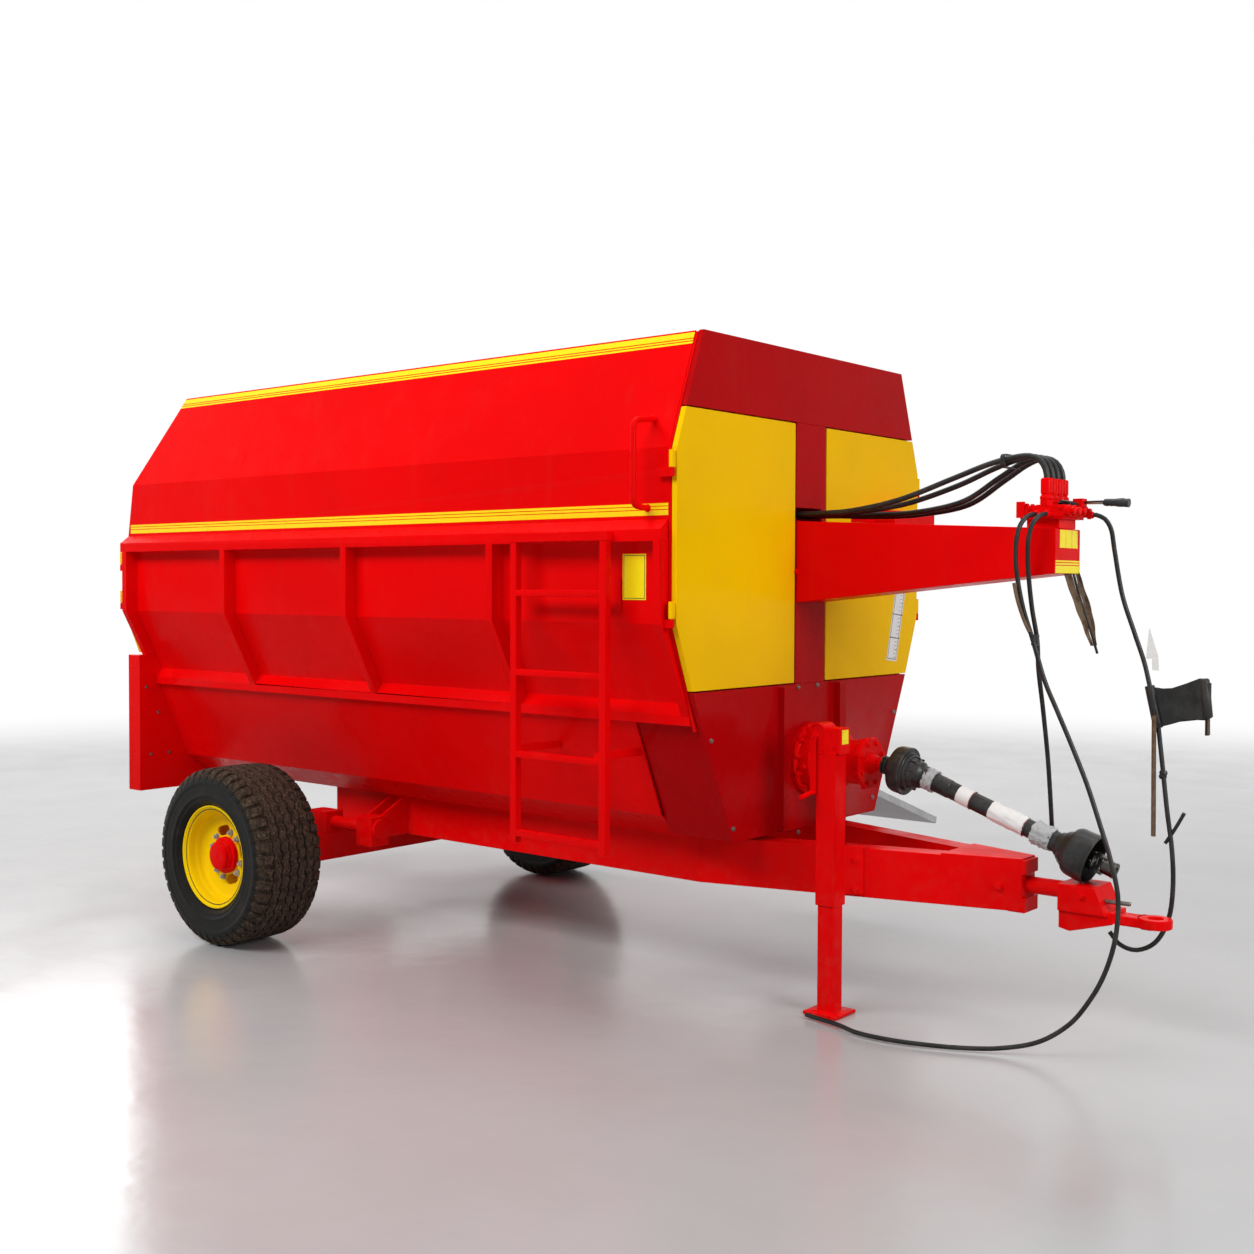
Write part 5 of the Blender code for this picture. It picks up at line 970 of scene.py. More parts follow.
def addCrumple(shape, place, low, high, radius, depth, seed, steps=48, rings=14):
    # a closed crumpled wrap round the frame's z axis
    loops = []
    for ring in range(rings + 1):
        share = ring / rings
        line = []
        for step in range(steps):
            angle = tau * step / steps
            at = Vector((cos(angle) * 3.2, sin(angle) * 3.2, share * 4 + seed))
            crease = noise.noise(at) + .6 * noise.noise(at * 2.7)
            size = radius + depth * (.5 + crease)
            height = low + (high - low) * share + depth * .8 * noise.noise(at * 1.7)
            line.append(shape.verts.new(place @ Vector((size * cos(angle), size * sin(angle), height))))
        loops.append(line)
    loops += [addRing(shape, place, .9 * radius, height, steps) for height in (high, low)]
    bridge(shape, loops, closed=True)


stripeLook = {
    "front": -.038, "upperRear": -3.155, "lowerRear": -3.408, "bend": (-.856, 2.048), "top": (-.705, 2.470),
    # from the top edge down: (gap above, width)
    "upper": ((0, .022), (.004, .006), (.004, .008)), "upperTop": 2.463, "rearSlope": .56,
    "lower": ((0, .009), (.003, .009), (.003, .018)), "lowerTop": 1.853,
}


def makeStripes(look):
    shape = bmesh.new()
    low, high = Vector((0, *look["bend"])), Vector((0, *look["top"]))
    down = (low - high).normalized()
    out = down.cross(Vector((1, 0, 0))).normalized()
    out = out if out.y < 0 else -out
    start = high + down * ((high.z - look["upperTop"]) / -down.z)
    for gap, width in look["upper"]:
        start = start + down * gap
        rear = Vector((look["upperRear"] - look["rearSlope"] * (high.z - start.z), 0, 0))
        addTape(shape, start + rear, start + Vector((look["front"], 0, 0)), down * width, out)
        start = start + down * width
    z = look["lowerTop"]
    for gap, width in look["lower"]:
        z -= gap
        y = look["bend"][0]
        addTape(shape, (look["lowerRear"], y, z), (look["front"], y, z), (0, 0, -width), (0, -1, 0))
        z -= width
    finished("sideStripes", meshOf(shape), "yellowFilm")


makeStripes(stripeLook)

signLook = {
    "warning": ((-.259, -.8363, 1.678), (.107, 0, 0), (0, 0, -.164)),
    "ruler": ((.0004, .668, 1.550), (0, .084, -.009), (0, -.074, -.296)), "rulerCells": 3,
    # on the ruler: where its marks start and how far they reach, as shares of its width, and line widths
    "markStart": .62, "markReach": .16, "longMark": .26, "markWide": .0024, "lineWide": .004,
    "endPlates": (-.070, .048, .003), "endZ": (1.700, 1.762), "endX": 1.0452,
    "endStripes": ((1.657, .006), (1.648, .006), (1.639, .026)), "armHalf": .105,
}
inkSheet = .0003                        # thickness of a printed mark


def framedPlate(shape, edges, corner, across, down, border, sheet=.0010):
    # a plate, and its border as four tapes
    corner, across, down = Vector(corner), Vector(across), Vector(down)
    out = down.cross(across).normalized()
    addSolid(shape, (corner, corner + across, corner + across + down, corner + down), out * sheet)
    side, fall = across.normalized(), down.normalized()
    lift = out * sheet
    inset = border * 2.2
    first = corner + (side + fall) * inset + lift
    width, height = across.length - 2 * inset, down.length - 2 * inset
    for low in (first, first + fall * (height - border)):
        addTape(edges, low, low + side * width, fall * border, out, inkSheet)
    for left in (first, first + side * (width - border)):
        addTape(edges, left, left + fall * height, side * border, out, inkSheet)
    return out


def makeSigns(look):
    plate, edges = bmesh.new(), bmesh.new()
    framedPlate(plate, edges, *look["warning"], .0022)
    finished("signPlate", meshOf(plate), "signYellow")
    finished("signBorder", meshOf(edges), "ink")

    corner, across, down = (Vector(part) for part in look["ruler"])
    plate, edges = bmesh.new(), bmesh.new()
    out = framedPlate(plate, edges, corner, across, down, .0030)
    for cell in range(look["rulerCells"]):
        top = corner + down * cell / look["rulerCells"] + out * .0010
        if cell:
            addTape(edges, top, top + across, down.normalized() * look["lineWide"], out, inkSheet)
        for mark in range(1, 6):
            at = top + down * mark / (6 * look["rulerCells"]) + across * look["markStart"]
            reach = look["longMark"] if mark == 3 else look["markReach"]
            addTape(edges, at, at + across * reach, down.normalized() * look["markWide"], out, inkSheet)
    finished("rulerPlate", meshOf(plate), "white", "front_door_left")
    finished("rulerMarks", meshOf(edges), "ink", "front_door_left")

    shape = bmesh.new()
    y, width, gap = look["endPlates"]
    for index in range(3):
        left = y + index * (width + gap)
        addTape(shape, (look["endX"], left, look["endZ"][1]), (look["endX"], left + width, look["endZ"][1]),
                (0, 0, look["endZ"][0] - look["endZ"][1]), (1, 0, 0), .0012)
    for z, width in look["endStripes"]:
        half = look["armHalf"] - .002
        addTape(shape, (look["endX"], -half, z), (look["endX"], half, z), (0, 0, -width), (1, 0, 0))
    finished("armEndPlates", meshOf(shape), "signYellow")


makeSigns(signLook)
print("stripes and signs made")


# bolts and small fittings

boltLook = {
    # on the front face: y, z
    "front": ((-.651, 1.010), (-.512, .676), (.660, 1.030), (-.084, 1.174), (.053, 1.175), (-.077, .609),
              (.061, .591), (.487, .684)),
    # on the rear housing's front face: y, z
    "rear": ((.788, 1.050), (.721, .921), (.765, .713), (.662, .714)), "rearX": -3.3858,
    "beam": ((.837, -.0768, .510), (.2657, -.9641, 0)), "head": ((1.137, -.0752, .518), (0, -1, 0)),
    "small": (.014, .0062), "large": (.017, .0095),
    "valveTop": ((.930, -.080), (.930, -.035), (.930, .010), (.930, .055)), "valveZ": 1.8462,
}


def makeBolts(look):
    small = [((.0002, y, z), (1, 0, 0), 1.0) for y, z in look["front"]]
    for side in (1, -1):
        small += [((look["rearX"], side * y, z), (1, 0, 0), .9) for y, z in look["rear"]]
    spread("panelBolts", hexHead(*look["small"]), small, "bolt")
    large = [(*look["beam"], 1.35), (*look["head"], 1.25)]
    large += [((x, y, look["valveZ"]), (0, 0, 1), .8) for x, y in look["valveTop"]]
    spread("paintedBolts", hexHead(*look["large"]), large, "redFlat")


makeBolts(boltLook)


# gearbox

gearLook = {
    "start": (.0003, 0, .892),
    "profile": ((0, 0), (.1410, 0), (.1410, .0180), (.1385, .0220), (.1230, .0220), (.1195, .0250),
                (.1200, .0290), (.1215, .0330), (.1215, .0700), (.1200, .0725), (.1150, .0735),
                (.1135, .0770), (.1135, .1440), (.1110, .1510), (.1050, .1560), (.0880, .1600),
                (.0845, .1650), (.0845, .2520), (.0860, .2570), (.0950, .2590), (.0975, .2620),
                (.0975, .2770), (.0950, .2800), (.0430, .2800), (.0410, .2815), (.0400, .2850),
                (.0300, .3050), (.0260, .3120), (.0225, .3135), (.0220, .3296), (0, .3297)),
    # count, circle, height, or size for the ears
    "backNuts": (12, .1305, .0220), "frontBolts": (8, .0800, .2800), "ears": (8, .0880, .0150),
    "earStart": .2605, "earLength": .0185, "ringTurn": 22, "nutSize": .019, "boltSize": .015,
    "plug": (.018, .011),
    # plugs on the drum: x, angle from the top toward the right side
    "plugs": ((.050, 40), (.050, 100), (.110, 62), (.110, 20), (.205, 55), (.205, -30)),
    # the drum's radius beyond an x, from the front back
    "drum": ((.165, .0840), (.074, .1130), (0, .1210)),
}


def makeGearbox(look):
    place = frameOf(look["start"], (1, 0, 0))
    shape = bmesh.new()
    addLathe(shape, place, look["profile"], 72)
    count, circle, size = look["ears"]
    ear = bmesh.new()
    length = look["earLength"]
    addLathe(ear, Matrix.Translation((0, 0, look["earStart"])),
             ((0, 0), (size, 0), (size, length - .002), (size - .002, length), (0, length)), 20)
    first = radians(look["ringTurn"])
    ears = ringed(meshOf(ear), count, circle, place, "redFlat", first)
    whole = joined((meshOf(shape, sharp=26), ears), 26)
    finished("gearbox", whole, "redFlat", "wagon", ("gearbox",))
    parts = []
    nut, bolt = look["nutSize"], look["boltSize"]
    for (count, circle, height), head in ((look["backNuts"], nutOnStud(nut, nut * .55)),
                                          (look["frontBolts"], hexHead(bolt, bolt * .6))):
        face = place @ Matrix.Translation((0, 0, height))
        parts.append(ringed(head, count, circle, face, "redFlat", first))
    finished("gearboxBolts", joined(parts, 20), "redFlat")
    places = []
    for x, angle in look["plugs"]:
        out = Vector((0, -sin(radians(angle)), cos(radians(angle))))
        radius = next(size for least, size in look["drum"] if x > least)
        places.append((Vector(look["start"]) + Vector((x, 0, 0)) + out * radius, out, 1.0))
    spread("gearboxPlugs", hexHead(*look["plug"]), places, "redFlat")


makeGearbox(gearLook)


# driveline

driveLook = {
    "rear": ((.3303, 0, .892), (.510, 0, .862)), "tube": ((.500, 0, .862), (1.0497, 0, .6645)),
    "tubeRadius": .0325,
    "rearProfile": ((0, 0), (.0300, 0), (.0345, .0020), (.0345, .0090), (.0300, .0120), (.0300, .0150),
                    (.0350, .0180), (.0350, .0250), (.0310, .0280), (.0310, .0310), (.0380, .0350),
                    (.0420, .0410), (.0560, .0460), (.0720, .0500), (.0830, .0570), (.0870, .0660),
                    (.0885, .0760), (.0890, .0980), (.0905, .1000), (.0905, .1080), (.0880, .1100),
                    (.0740, .1090), (.0700, .1120), (.0690, .1260), (.0600, .1290), (.0580, .1440),
                    (.0510, .1480), (.0490, .1650), (.0440, .1700), (.0390, .1760), (.0370, .1960),
                    (0, .1960)),
    "frontProfile": ((0, -.060), (.0350, -.060), (.0370, -.055), (.0370, -.030), (.0430, -.024),
                     (.0470, -.010), (.0560, -.004), (.0600, .0040), (.0660, .0160), (.0790, .0220),
                     (.0850, .0320), (.0870, .0440), (.0885, .0980), (.0900, .1000), (.0900, .1080),
                     (.0880, .1100), (.0855, .1080), (.0840, .0460), (.0700, .0400), (.0360, .0360),
                     (0, .0360)),
    "ribs": (10, .0560, .118), "sleeve": (.115, .0345),
    # wraps on the tube: low, high, radius, depth, finish
    "wraps": ((.155, .212, .0330, .0004, "white"), (.290, .430, .0338, .0028, "white"),
              (.012, .052, .0390, .0055, "film"), (.462, .535, .0370, .0080, "film")),
    "labelEnds": (.212, .430), "labelEdge": .0016, "yokeLength": .190,
    # half length, height and radius of the joint's cross
    "cross": (.034, .1020, .0085),
}


def drivePiece(name, mesh, node):
    finished(name, mesh, "plastic", "wagon", (node,))


def makeDriveline(look):
    start, end = (Vector(point) for point in look["rear"])
    rear = frameOf(start, end - start)
    shape = bmesh.new()
    addLathe(shape, rear, look["rearProfile"], 60)
    count, circle, height = look["ribs"]
    rib = bmesh.new()
    addBlock(rib, (-.010, -.0018, height - .006), (.007, .0018, height + .030))
    ribs = ringed(meshOf(rib), count, circle, rear, "plastic")
    drivePiece("drivelineRearGuard", joined((meshOf(shape, sharp=30), ribs), 30), "driveline_rear_guard")
    start, end = (Vector(point) for point in look["tube"])
    along = frameOf(start, end - start)
    length = (end - start).length
    radius = look["tubeRadius"]
    sleeveEnd, sleeve = look["sleeve"]
    shape = bmesh.new()
    addLathe(shape, along, ((0, 0), (sleeve, 0), (sleeve, sleeveEnd), (sleeve - .0015, sleeveEnd + .002),
                            (radius, sleeveEnd + .003), (radius, length), (0, length)), 48)
    drivePiece("drivelineTube", meshOf(shape, sharp=30), "driveline_tube")
    for index, (low, high, size, depth, finish) in enumerate(look["wraps"]):
        shape = bmesh.new()
        addCrumple(shape, along, low, high, size, depth, index * 7.3)
        finished(f"drivelineWrap{index + 1}", meshOf(shape, sharp=60), finish)
    shape = bmesh.new()
    for high in look["labelEnds"]:
        low = high - look["labelEdge"]
        addLathe(shape, along, ((.0310, low), (.0352, low), (.0352, high), (.0310, high)), 48, closed=True)
    finished("drivelineLabelEdges", meshOf(shape), "darkRed")
    front = frameOf(end, end - start)
    shape = bmesh.new()
    addLathe(shape, front, look["frontProfile"], 60)
    drivePiece("drivelineFrontGuard", meshOf(shape, sharp=30), "driveline_front_guard")
    shape = bmesh.new()
    far = look["yokeLength"]
    addLathe(shape, front, ((0, .0360), (.0200, .0360), (.0200, .0800), (0, .0800)), 24)
    addLathe(shape, front, ((.0130, .1420), (.0240, .1420), (.0265, .1450), (.0265, far - .010),
                            (.0280, far - .008), (.0280, far), (.0150, far), (.0130, far - .004)),
             32, closed=True)
    fork = bmesh.new()
    for side in (1, -1):
        addBlock(fork, (side * .0270 - .0045, -.0160, .0900), (side * .0270 + .0045, .0160, .1500))
        addBlock(fork, (-.0160, side * .0250 - .0045, .0560), (.0160, side * .0250 + .0045, .1120))
    bmesh.ops.transform(fork, matrix=front, verts=fork.verts)
    shape.from_mesh(meshOf(fork))
    half, height, radius = look["cross"]
    middle = Vector((0, 0, height))
    for side in ((1, 0, 0), (0, 1, 0)):
        reach = Vector(side) * half
        addBar(shape, front @ (middle - reach), front @ (middle + reach), radius, soft=.001)
    finished("drivelineYoke", meshOf(shape, sharp=30), "oily", "wagon", ("driveline_yoke",))


makeDriveline(driveLook)
print("drive made")


# parking jack's head and crank

jackLook = {
    "arch": (.245, 1.032, .036), "face": -.3304, "foot": .957, "rim": .005, "proud": .0040,
    "pivot": (.234, 1.020), "bar": (.020, .0070, .205), "handle": (.085, .0085),
    "label": ((.3374, -.312, 1.045), (0, .044, 0), (0, 0, -.052)),
    "screws": ((.222, .968), (.268, .968), (.312, .985)),
}


def makeJackHead(look):
    x, z, radius = look["arch"]
    y = look["face"]

    def archLine(size, low):
        arc = [(x + size * cos(pi * step / 16), y, z + size * sin(pi * step / 16)) for step in range(17)]
        return [*arc, (x - size, y, low), (x + size, y, low)]

    shape = bmesh.new()
    outer = archLine(radius - .001, look["foot"])
    inner = archLine(radius - .001 - look["rim"], look["foot"] + look["rim"])
    rings = []
    for line, depth in ((outer, 0), (outer, -look["proud"]), (inner, -look["proud"]), (inner, 0)):
        rings.append([shape.verts.new((point[0], point[1] + depth, point[2])) for point in line])
    bridge(shape, rings, closed=True)
    pivotX, pivotZ = look["pivot"]
    addBar(shape, (pivotX, y + .002, pivotZ), (pivotX, y - .006, pivotZ), .0170, .0150, 32, .001)
    finished("jackHeadPlate", meshOf(shape, sharp=30), "redFlat")

    width, sheet, length = look["bar"]
    shape = bmesh.new()
    outline = []
    for middle, first in ((pivotZ, 0), (pivotZ - length, pi)):
        for step in range(11):
            turn = first + pi * step / 10
            outline.append((pivotX + width / 2 * cos(turn), y - .0080, middle + width / 2 * sin(turn)))
    addSolid(shape, outline, (0, -sheet, 0))
    addBar(shape, (pivotX, y - .006, pivotZ), (pivotX, y - .019, pivotZ), .0095, .0090, 6)
    reach, size = look["handle"]
    low = pivotZ - length
    addPipe(shape, ((pivotX, y - .008, low), (pivotX - .001, y - .026, low - .001),
                    (pivotX - .003, y - .045, low - .006), (pivotX - .005, y - reach, low - .012)), size, 18)
    finished("jackCrank", meshOf(shape, sharp=30), "redFlat", "wagon", ("jack_crank",))
    shape = bmesh.new()
    corner, across, down = (Vector(part) for part in look["label"])
    addSolid(shape, (corner, corner + across, corner + across + down, corner + down), (.0006, 0, 0))
    finished("jackLabel", meshOf(shape), "signYellow")
    spots = [((spotX, y, spotZ), (0, -1, 0), .7) for spotX, spotZ in look["screws"]]
    spread("jackScrews", hexHead(.014, .007), spots, "redFlat")


makeJackHead(jackLook)


# valve fittings, linkage and what hangs at the arm's tip

valveLook = {
    "stubX": 1.000, "stubYs": (-.080, -.035, .010, .055), "top": 1.8450,
    "ferrule": ((0, .020), (.0205, .020), (.0220, .0220), (.0220, .0300), (.0200, .0320), (.0195, .0340),
                (.0172, .0355), (.0172, .0400), (.0196, .0415), (.0196, .0890), (.0180, .0925),
                (.0125, .0948), (0, .0948)),
    "nut": (.0235, .018), "base": ((.9250, -.0700, 1.7670), (1.0420, .0700, 1.8000)),
    "plate": ((.9120, -.0950, 1.7990), (1.0650, .0860, 1.8070)),
    # one section of the valve, along x
    "section": ((0, 0), (.0125, 0), (.0130, .001), (.0130, .014), (.0190, .017), (.0205, .020),
                (.0205, .052), (.0175, .056), (.0175, .070), (.0205, .074), (.0205, .128), (.0175, .132),
                (.0175, .150), (.0200, .153), (.0200, .186), (.0185, .189), (.0120, .190), (.0120, .203),
                (0, .204)),
    "sectionX": .900, "sectionZ": 1.8255, "block": ((.9350, -.0190, 1.8060), (1.0700, .0190, 1.8460)),
    "tieRods": ((.9460, 1.8360), (1.0560, 1.8360), (1.0000, 1.8130)), "tieEnds": (-.1080, .0870),
    "outlets": (((.975, -.0900, 1.815), (0, -1, 0)), ((1.012, -.0900, 1.815), (0, -1, 0)),
                ((1.0900, .060, 1.815), (1, 0, 0))),
    "outlet": ((0, 0), (.0145, 0), (.0145, .010), (.0125, .0115), (.0120, .0180), (.0105, .0200),
               (.0090, .0215), (0, .0215)),
    "ear": ((.9000, -.1020, 1.8040), (.9300, -.0940, 1.8600)),
    "clevis": ((1.0600, 0, 1.8420), (1.0950, .0400, 1.8700)),
    "linkage": ((1.0280, -.0160, 1.8470), (1.0800, .0520, 1.8570)),
    "rods": (((.9700, -.0560, 1.8560), (1.0600, .0100, 1.8560)),
             ((1.0450, -.0640, 1.8600), (1.0450, .0640, 1.8600))),
    "lever": ((1.0950, .0200, 1.8560), (1.1700, .0200, 1.8540)),
    "grip": ((0, 0), (.0090, 0), (.0110, .004), (.0125, .012), (.0115, .020), (.0128, .028), (.0120, .036),
             (.0138, .046), (.0150, .056), (.0150, .068), (.0125, .078), (.0070, .084), (0, .085)),
}


def makeValve(look):
    shape = bmesh.new()
    for part in ("base", "plate", "ear", "clevis"):
        addBlock(shape, *look[part])
    low, high = look["block"]
    for y in look["stubYs"]:
        addLathe(shape, frameOf((look["sectionX"], y, look["sectionZ"]), (1, 0, 0)), look["section"], 32)
        addBlock(shape, (low[0], y + low[1], low[2]), (high[0], y + high[1], high[2]))
        place = Matrix.Translation((look["stubX"], y, look["top"]))
        addLathe(shape, place, look["ferrule"], 32)
        across, height = look["nut"]
        addLathe(shape, place, ((0, 0), (across, 0), (across, height), (across - .0018, height + .0020),
                                (0, height + .0020)), 6)
    start, end = look["tieEnds"]
    for x, z in look["tieRods"]:
        addBar(shape, (x, start, z), (x, end, z), .0050, steps=16, soft=.001)
        for y in (start + .003, end - .010):
            addBar(shape, (x, y, z), (x, y + .007, z), .0095, steps=6, soft=.0008)
    for point, along in look["outlets"]:
        addLathe(shape, frameOf(point, along), look["outlet"][:3] + ((0, .0100),), 6)
        addLathe(shape, frameOf(point, along), look["outlet"], 24)
    block = finished("valveBlock", meshOf(shape, sharp=26), "red", "wagon", ("valve_block",))
    softened(block, .0008, 2, 40)
    shape = bmesh.new()
    for start, end in look["rods"]:
        addBar(shape, start, end, .0045, steps=16, soft=.001)
    addBlock(shape, *look["linkage"])
    start, end = (Vector(point) for point in look["lever"])
    addLathe(shape, frameOf(end - Vector((.008, 0, 0)), end - start), look["grip"], 32)
    grip = finished("valveGrip", meshOf(shape), "plastic", "wagon", ("valve_lever",))
    softened(grip, .0006, 2, 40)
    shape = bmesh.new()
    addBar(shape, start, end, .0058, steps=24, soft=.001)
    finished("leverRod", meshOf(shape), "steel")


makeValve(valveLook)


hangingLook = {
    # strips: middle (x, y, z) and half width
    "strips": ((((1.030, .025, 1.618), .0134), ((1.0696, .046, 1.486), .0115),
                ((1.095, .093, 1.361), .0050)),
               (((1.038, .094, 1.618), .0076), ((1.079, .119, 1.455), .0125),
                ((1.092, .135, 1.361), .0040))),
    "across": (.77, .64, 0), "sheet": .0030,
    "cord": ((1.040, .060, 1.616), (1.058, .084, 1.520), (1.078, .112, 1.430), (1.098, .140, 1.333)),
    "brown": ((.9380, -.196, 1.579), (.9480, -.188, 1.520), (.9660, -.176, 1.455), (.9830, -.168, 1.413)),
    "crossing": ((1.3610, .094, .700), (1.3930, .094, .752), (1.4230, .094, .808)),
    "long": ((1.3140, .102, 1.130), (1.3160, .1005, .940), (1.3180, .100, .718)),
    "tape": ((.984, -.123, 1.365), (.984, -.121, 1.403)), "knot": (1.344, .112, .930),
    "tapeProfile": ((0, 0), (.0168, 0), (.0172, .001), (.0172, .012), (.0182, .013), (.0182, .037),
                    (.0170, .038), (0, .038)),
    "knotProfile": ((0, -.016), (.010, -.015), (.0135, -.008), (.0120, 0), (.0140, .007), (.0110, .014),
                    (0, .016)),
    # the tie round the bundle: its left, right, foot and head
    "tieX": .842, "tie": (-.092, .068, 1.984, 2.028), "tieCorner": .016,
    "tag": ((1.290, 1.429), (1.322, 1.331), (1.324, 1.283), (1.302, 1.283), (1.300, 1.322), (1.280, 1.322)),
    "tagY": .112,
}


def addRibbon(shape, stops, across, sheet):
    # a flat strip through middles, with a half width at each
    middles = smoothRun([stop[0] for stop in stops], .012)
    across = Vector(across).normalized()
    out = across.cross(Vector((0, 0, 1))) * sheet
    rings = []
    for index, middle in enumerate(middles):
        share = index / (len(middles) - 1) * (len(stops) - 1)
        first = min(int(share), len(stops) - 2)
        half = stops[first][1] + (stops[first + 1][1] - stops[first][1]) * (share - first)
        curl = out * (1 + 1.2 * sin(index * .9))
        rings.append([shape.verts.new(middle + across * half * side + curl * abs(side) + out * lift)
                      for side, lift in ((-1, 0), (0, -.4), (1, 0), (1, 1), (0, .6), (-1, 1))])
    bridge(shape, rings, capped=True)


def makeHanging(look):
    shape = bmesh.new()
    for stops in look["strips"]:
        addRibbon(shape, stops, look["across"], look["sheet"])
    addPipe(shape, smoothRun(look["brown"], .012), .0058, 12)
    addPipe(shape, smoothRun(look["long"], .020), .0078, 14)
    finished("hangingStrips", meshOf(shape, sharp=50), "strap")
    shape = bmesh.new()
    addPipe(shape, smoothRun(look["cord"], .012), .0046, 12)
    addPipe(shape, smoothRun(look["crossing"], .012), .0062, 12)
    start, end = (Vector(point) for point in look["tape"])
    place = frameOf(start, end - start) @ Matrix.Diagonal((.62, 1.25, 1, 1))
    addLathe(shape, place, look["tapeProfile"], 32)
    place = Matrix.Translation(look["knot"]) @ Matrix.Rotation(.15, 4, "Y")
    addLathe(shape, place, look["knotProfile"], 20)
    low, high, foot, head = look["tie"]
    corner = look["tieCorner"]
    loop = []
    for (y, z), first in (((high - corner, head - corner), 0), ((low + corner, head - corner), pi / 2),
                          ((low + corner, foot + corner), pi), ((high - corner, foot + corner), 3 * pi / 2)):
        turns = [first + pi / 2 * step / 4 for step in range(5)]
        loop += [(look["tieX"], y + corner * cos(turn), z + corner * sin(turn)) for turn in turns]
    for shift in (-.006, 0, .006):
        addPipe(shape, [(x + shift, y, z) for x, y, z in (*loop, loop[0])], .0030, 8)
    finished("hoseTapes", meshOf(shape), "plastic")
    shape = bmesh.new()
    addSolid(shape, [(x, look["tagY"], z) for x, z in look["tag"]], (0, .0012, 0))
    finished("hoseTag", meshOf(shape), "white")


makeHanging(hangingLook)

holderLook = {
    "sleeve": ((1.2905, .120, 1.230), (1.3225, .120, 1.086), .0165),
    "roll": ((1.474, .120, 1.262), (1.488, .120, 1.130), .0160),
    # the sheet's top and bottom edges: x, z
    "top": ((1.300, 1.226), (1.335, 1.222), (1.367, 1.225), (1.415, 1.243), (1.459, 1.262), (1.476, 1.262)),
    "bottom": ((1.325, 1.089), (1.360, 1.100), (1.395, 1.112), (1.450, 1.121), (1.475, 1.128),
               (1.487, 1.131)),
    "y": .120, "sheet": .0045, "ripple": .0052, "columns": 40, "rows": 22,
    "stub": ((1.488, .120, 1.134), (1.489, .120, 1.074)),
}


def edgeAt(line, share):
    place = share * (len(line) - 1)
    first = min(int(place), len(line) - 2)
    return Vector(line[first]).lerp(Vector(line[first + 1]), place - first)


def makeHolder(look):
    shape = bmesh.new()
    for part, soft in (("sleeve", .003), ("roll", .005)):
        start, end, radius = look[part]
        addBar(shape, start, end, radius, steps=32, soft=soft)
    sides = []
    for lift in (-.5, .5):
        rows = []
        for row in range(look["rows"] + 1):
            down = row / look["rows"]
            line = []
            for column in range(look["columns"] + 1):
                along = column / look["columns"]
                x, z = edgeAt(look["top"], along).lerp(edgeAt(look["bottom"], along), down)
                fold = sin(tau * along) * .6 + .05 * sin(down * 9 - along * 5)
                line.append(shape.verts.new((x, look["y"] + look["ripple"] * fold + lift * look["sheet"], z)))
            rows.append(line)
        sides.append(rows)
    low, high = sides
    wide, tall = look["columns"], look["rows"]
    for rows in sides:
        for first, second in zip(rows, rows[1:]):
            for column in range(wide):
                shape.faces.new((first[column], first[column + 1], second[column + 1], second[column]))
    rim = [(0, column) for column in range(wide)] + [(row, wide) for row in range(tall)]
    rim += [(tall, column) for column in range(wide, 0, -1)] + [(row, 0) for row in range(tall, 0, -1)]
    for (row, column), (nextRow, nextColumn) in zip(rim, rim[1:] + rim[:1]):
        shape.faces.new((low[row][column], low[nextRow][nextColumn],
                         high[nextRow][nextColumn], high[row][column]))
    finished("hoseHolder", meshOf(shape, sharp=60), "sheet", "wagon", ("hose_holder",))
    shape = bmesh.new()
    addPipe(shape, look["stub"], .0062, 12)
    finished("holderStub", meshOf(shape), "strap")


makeHolder(holderLook)


# grab handle: one bent rod on two welded feet

handleLook = {
    "x": -.130, "radius": .0108, "outside": -.938, "low": 1.837, "high": 2.155, "lowWall": -.857,
    "highWall": -.819, "bend": .030, "lowRise": .004, "highDrop": .012,
    # the weld rings on each foot: distance outward, radius
    "welds": ((0, .0150), (.003, .0138)),
}


def makeHandle(look):
    x, out = look["x"], look["outside"]
    inner, bend = look["low"], look["bend"]
    corners = []
    low, high = inner + look["lowRise"] + bend, look["high"] - look["highDrop"] - bend
    for middle, first in ((low, -pi / 2), (high, pi)):
        turns = [first - pi / 2 * step / 8 for step in range(9)]
        corners += [(x, out + bend + bend * cos(turn), middle + bend * sin(turn)) for turn in turns]
    line = [(x, look["lowWall"] + .004, inner), *corners, (x, look["highWall"] + .006, look["high"])]
    shape = bmesh.new()
    addPipe(shape, line, look["radius"], 20)
    for y, z, drop in ((look["lowWall"], inner, 0), (look["highWall"], look["high"], .002)):
        for ring, size in look["welds"]:
            outer = (x, y - .004 - ring, z - drop)
            addBar(shape, (x, y + .002 - ring, z), outer, size, size - .002, 20, .001)
    finished("grabHandle", meshOf(shape), "red", "wagon", ("grab_handle",))


makeHandle(handleLook)


# the lip of the hopper that closes the joint behind the front case

lipLook = {
    "x": (-.0370, -.0262), "inset": .0020, "wide": .030,
    "half": ((.705, 2.470), (.856, 2.048), (.856, 1.430), (.760, 1.187), (.712, 1.044)),
}


def makeLip(look):
    shape = bmesh.new()
    rear, front = look["x"]
    for side in (1, -1):
        rings = []
        for y, z in look["half"]:
            near, far = y - look["inset"], y - look["inset"] - look["wide"]
            rings.append([shape.verts.new((x, side * across, z - (.004 if z > 2.4 else 0)))
                          for x, across in ((rear, near), (front, near), (front, far), (rear, far))])
        bridge(shape, rings, capped=True)
    finished("caseLip", meshOf(shape), "red")


makeLip(lipLook)

